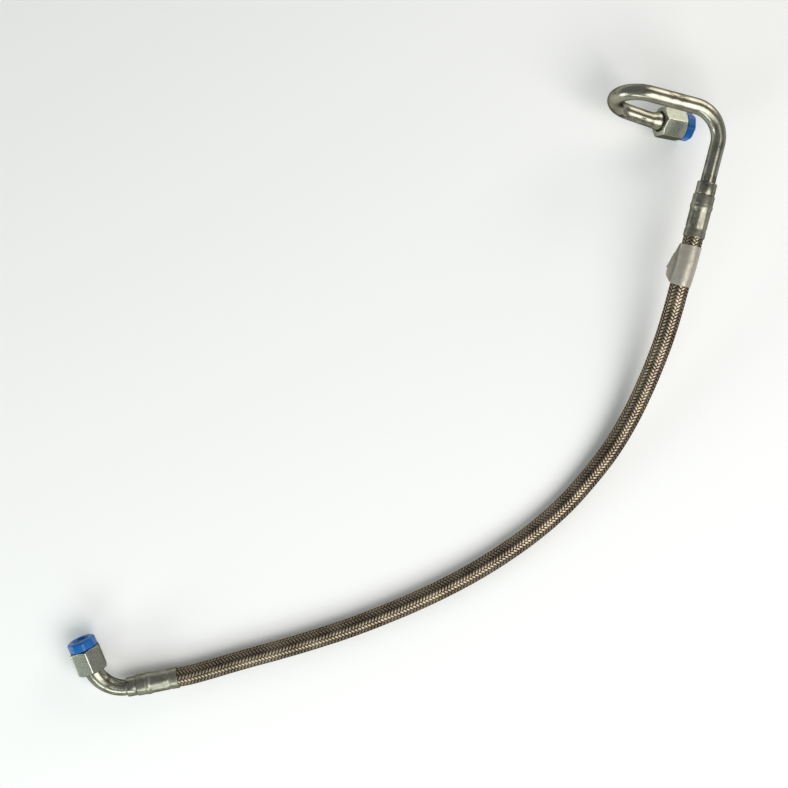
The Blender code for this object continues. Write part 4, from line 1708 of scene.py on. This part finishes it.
@dataclass
class EndFitting:
    """One end of the hose: ferrule, insert, bent tube, nipple, nut and plug.

    Attributes:
        suffix: The end, a or b.
        mouth: The frame at its ferrule's mouth.
        collar_length: Length of its insert's collar.
        tube: Name of its bent tube's node.
        runs: The tube's straight lengths and bends.
        end_radius: The tube's outer radius at the nut.
        ovals: How much wider than high the tube is along its length.
        nut_roll: Angle of the nut's first corner from the top.
        plug_roll: Angle of the plug's first corner from the top.
        first_jaw: Angle of the first crimping jaw.
        sleeved: Whether the nipple sleeves the tube.
    """

    suffix: str
    mouth: Matrix
    collar_length: float
    tube: str
    runs: list[float | Bend]
    end_radius: float
    ovals: Marks
    nut_roll: float
    plug_roll: float
    first_jaw: float
    sleeved: bool

    def build(self) -> None:
        """Make every piece of the end."""
        seat = joint_frame(f"nut_{self.suffix}_turn")
        nut_mouth = seat @ Matrix.Translation((0, 0, NUT_LENGTH))
        CrimpFerrule(self.suffix, self.mouth, self.first_jaw).build()
        HoseInsert(self.suffix, self.mouth, self.collar_length).build()
        BentTube(self.tube, self.mouth, self.runs, self.end_radius, self.ovals).build()
        ConeNipple(self.suffix, seat, self.sleeved).build()
        SwivelNut(self.suffix, seat, self.nut_roll).build()
        ProtectivePlug(self.suffix, nut_mouth, self.plug_roll).build()


@dataclass(frozen=True)
class SoftLight:
    """One studio softbox, turned to a point on the floor.

    Attributes:
        name: What the light does.
        place: Where it stands.
        target: What it is turned to.
        size: Its width and height.
        power: Its power in watts.
        tint: Colour of its light.
    """

    name: str
    place: tuple[float, float, float]
    target: tuple[float, float, float]
    size: tuple[float, float]
    power: float
    tint: str

    def build(self) -> None:
        """Place the light."""
        data = bpy.data.lights.new(self.name, "AREA")
        data.shape = "RECTANGLE"
        data.size, data.size_y = self.size
        data.energy = self.power
        data.color = linear(self.tint)[:3]
        light = show(self.name, data)
        light.location = self.place
        aim = Vector(self.target) - Vector(self.place)
        light.rotation_euler = aim.to_track_quat("-Z", "Y").to_euler()


@dataclass
class Studio:
    """The plain pale floor, the soft lights and the camera straight above the hose.

    Attributes:
        camera_place: Where the camera stands.
        focal_pixels: Focal length in pixels of the square photograph.
        frame_pixels: Width of the photograph.
        sensor: Width of the camera's sensor in mm.
        nearest: Nearest distance that the camera shows.
        floor_half: Half the floor's width.
        floor_colour: Colour of the floor.
        sky: Colour of the even light that fills the room.
        sky_strength: Strength of that light.
        lights: The softboxes.
    """

    camera_place: tuple[float, float, float] = (2.4 * MM, 2.9 * MM, 960 * MM)
    focal_pixels: float = 1424.0
    frame_pixels: float = 788.0
    sensor: float = 36.0
    nearest: float = 0.05
    floor_half: float = 3.0
    floor_colour: str = "#f6f6f5"
    sky: str = "#c3c7cc"
    sky_strength: float = 0.42
    lights: tuple[SoftLight, ...] = (
        SoftLight(
            "top_right_softbox", (1.05, 1.25, 0.55), (0.18, 0.18, 0.02), (0.95, 0.95), 9.5, "#fff9ee"
        ),
        SoftLight("right_softbox", (0.68, -0.68, 1.28), (0.02, -0.02, 0.0), (1.35, 1.10), 19.0, "#fffdfa"),
        SoftLight(
            "front_softbox", (-0.35, -1.35, 0.75), (-0.15, -0.10, 0.0), (1.10, 0.40), 7.0, "#ecf9f6"
        ),
        SoftLight(
            "left_softbox", (-1.40, -0.60, 0.38), (-0.20, -0.17, 0.03), (0.70, 0.45), 9.0, "#ecf7f1"
        ),
    )

    def camera(self) -> None:
        """Place the camera, looking straight down with +Y up in the picture."""
        data = bpy.data.cameras.new("overhead_camera")
        data.sensor_width = self.sensor
        data.lens = self.sensor * self.focal_pixels / self.frame_pixels
        data.clip_start = self.nearest
        camera = show("overhead_camera", data)
        camera.location = self.camera_place
        bpy.context.scene.camera = camera

    def floor(self) -> None:
        """Lay the plain pale floor."""
        mesh = bpy.data.meshes.new("studio_floor")
        half = self.floor_half
        corners = [(-half, -half, 0), (half, -half, 0), (half, half, 0), (-half, half, 0)]
        mesh.from_pydata(corners, [], [(0, 1, 2, 3)])
        # Background paper: even, matt and nearly white
        material, _tree, shader = start_material("studio_floor_paper")
        paper = {"Base Color": linear(self.floor_colour), "Roughness": 0.9, "Specular IOR Level": 0.1}
        join(shader, paper)
        mesh.materials.append(material)
        show("studio_floor", mesh)

    def world(self) -> None:
        """Fill the room with an even, dim light."""
        world = bpy.data.worlds.new("studio_room")
        world.use_nodes = True
        background = world.node_tree.nodes["Background"]
        join(background, {"Color": linear(self.sky), "Strength": self.sky_strength})
        bpy.context.scene.world = world
        bpy.context.scene.view_settings.view_transform = "Standard"

    def build(self) -> None:
        """Set the studio."""
        self.camera()
        self.floor()
        self.world()
        for light in self.lights:
            light.build()


def end_a(route: Route) -> EndFitting:
    """Describe end A, whose tube turns a corner and loops back under itself.

    Args:
        route: The hose's centre line.

    Returns:
        The end.
    """
    return EndFitting(
        suffix="a",
        mouth=frame_along(route.at(0.0), -route.direction(0.0)),
        collar_length=8.0 * MM,
        tube="loop_tube",
        runs=[
            29.6 * MM,
            Bend(math.radians(90.0), math.radians(8.8), 20.4 * MM),
            30.6 * MM,
            Bend(math.radians(170.7), math.radians(-72.3), 16.9 * MM),
            14.0 * MM,
            Bend(math.radians(7.8), math.radians(-91.3), 40.0 * MM),
            7.7 * MM,
        ],
        end_radius=TUBE_OD / 2,
        ovals=((0.0, 1.0), (0.06, 0.95), (0.20, 0.95), (0.30, 1.03), (0.55, 1.03), (0.8, 1.0), (1.0, 1.0)),
        nut_roll=math.radians(-2.0),
        plug_roll=math.radians(12.0),
        first_jaw=math.radians(10.0),
        sleeved=True,
    )


def end_b(route: Route) -> EndFitting:
    """Describe end B, a short elbow that swells towards its nut.

    Args:
        route: The hose's centre line.

    Returns:
        The end.
    """
    return EndFitting(
        suffix="b",
        mouth=frame_along(route.at(route.length), route.direction(route.length)),
        collar_length=6.5 * MM,
        tube="elbow_tube",
        runs=[
            3.2 * MM,
            Bend(math.radians(13.9), math.radians(171.4), 14.6 * MM),
            Bend(math.radians(66.0), 0.0, 22.4 * MM),
            0.5 * MM,
        ],
        end_radius=6.2 * MM,
        ovals=((0.0, 1.0), (0.3, 1.02), (0.7, 1.02), (1.0, 1.0)),
        nut_roll=math.radians(9.1),
        plug_roll=math.radians(12.0),
        first_jaw=math.radians(24.0),
        sleeved=False,
    )


def main() -> None:
    """Build the studio, the hose and its two ends."""
    logging.basicConfig(level=logging.INFO, format="%(name)s: %(message)s")
    Studio().build()
    route = Route([Vector(point) * MM for point in HOSE_ROUTE_MM])
    BraidedHose(route).build(IdentityLabel(route).build())
    end_a(route).build()
    end_b(route).build()
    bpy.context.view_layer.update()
    LOG.info("hose length %.4f m", route.length)


if __name__ == "__main__":
    main()
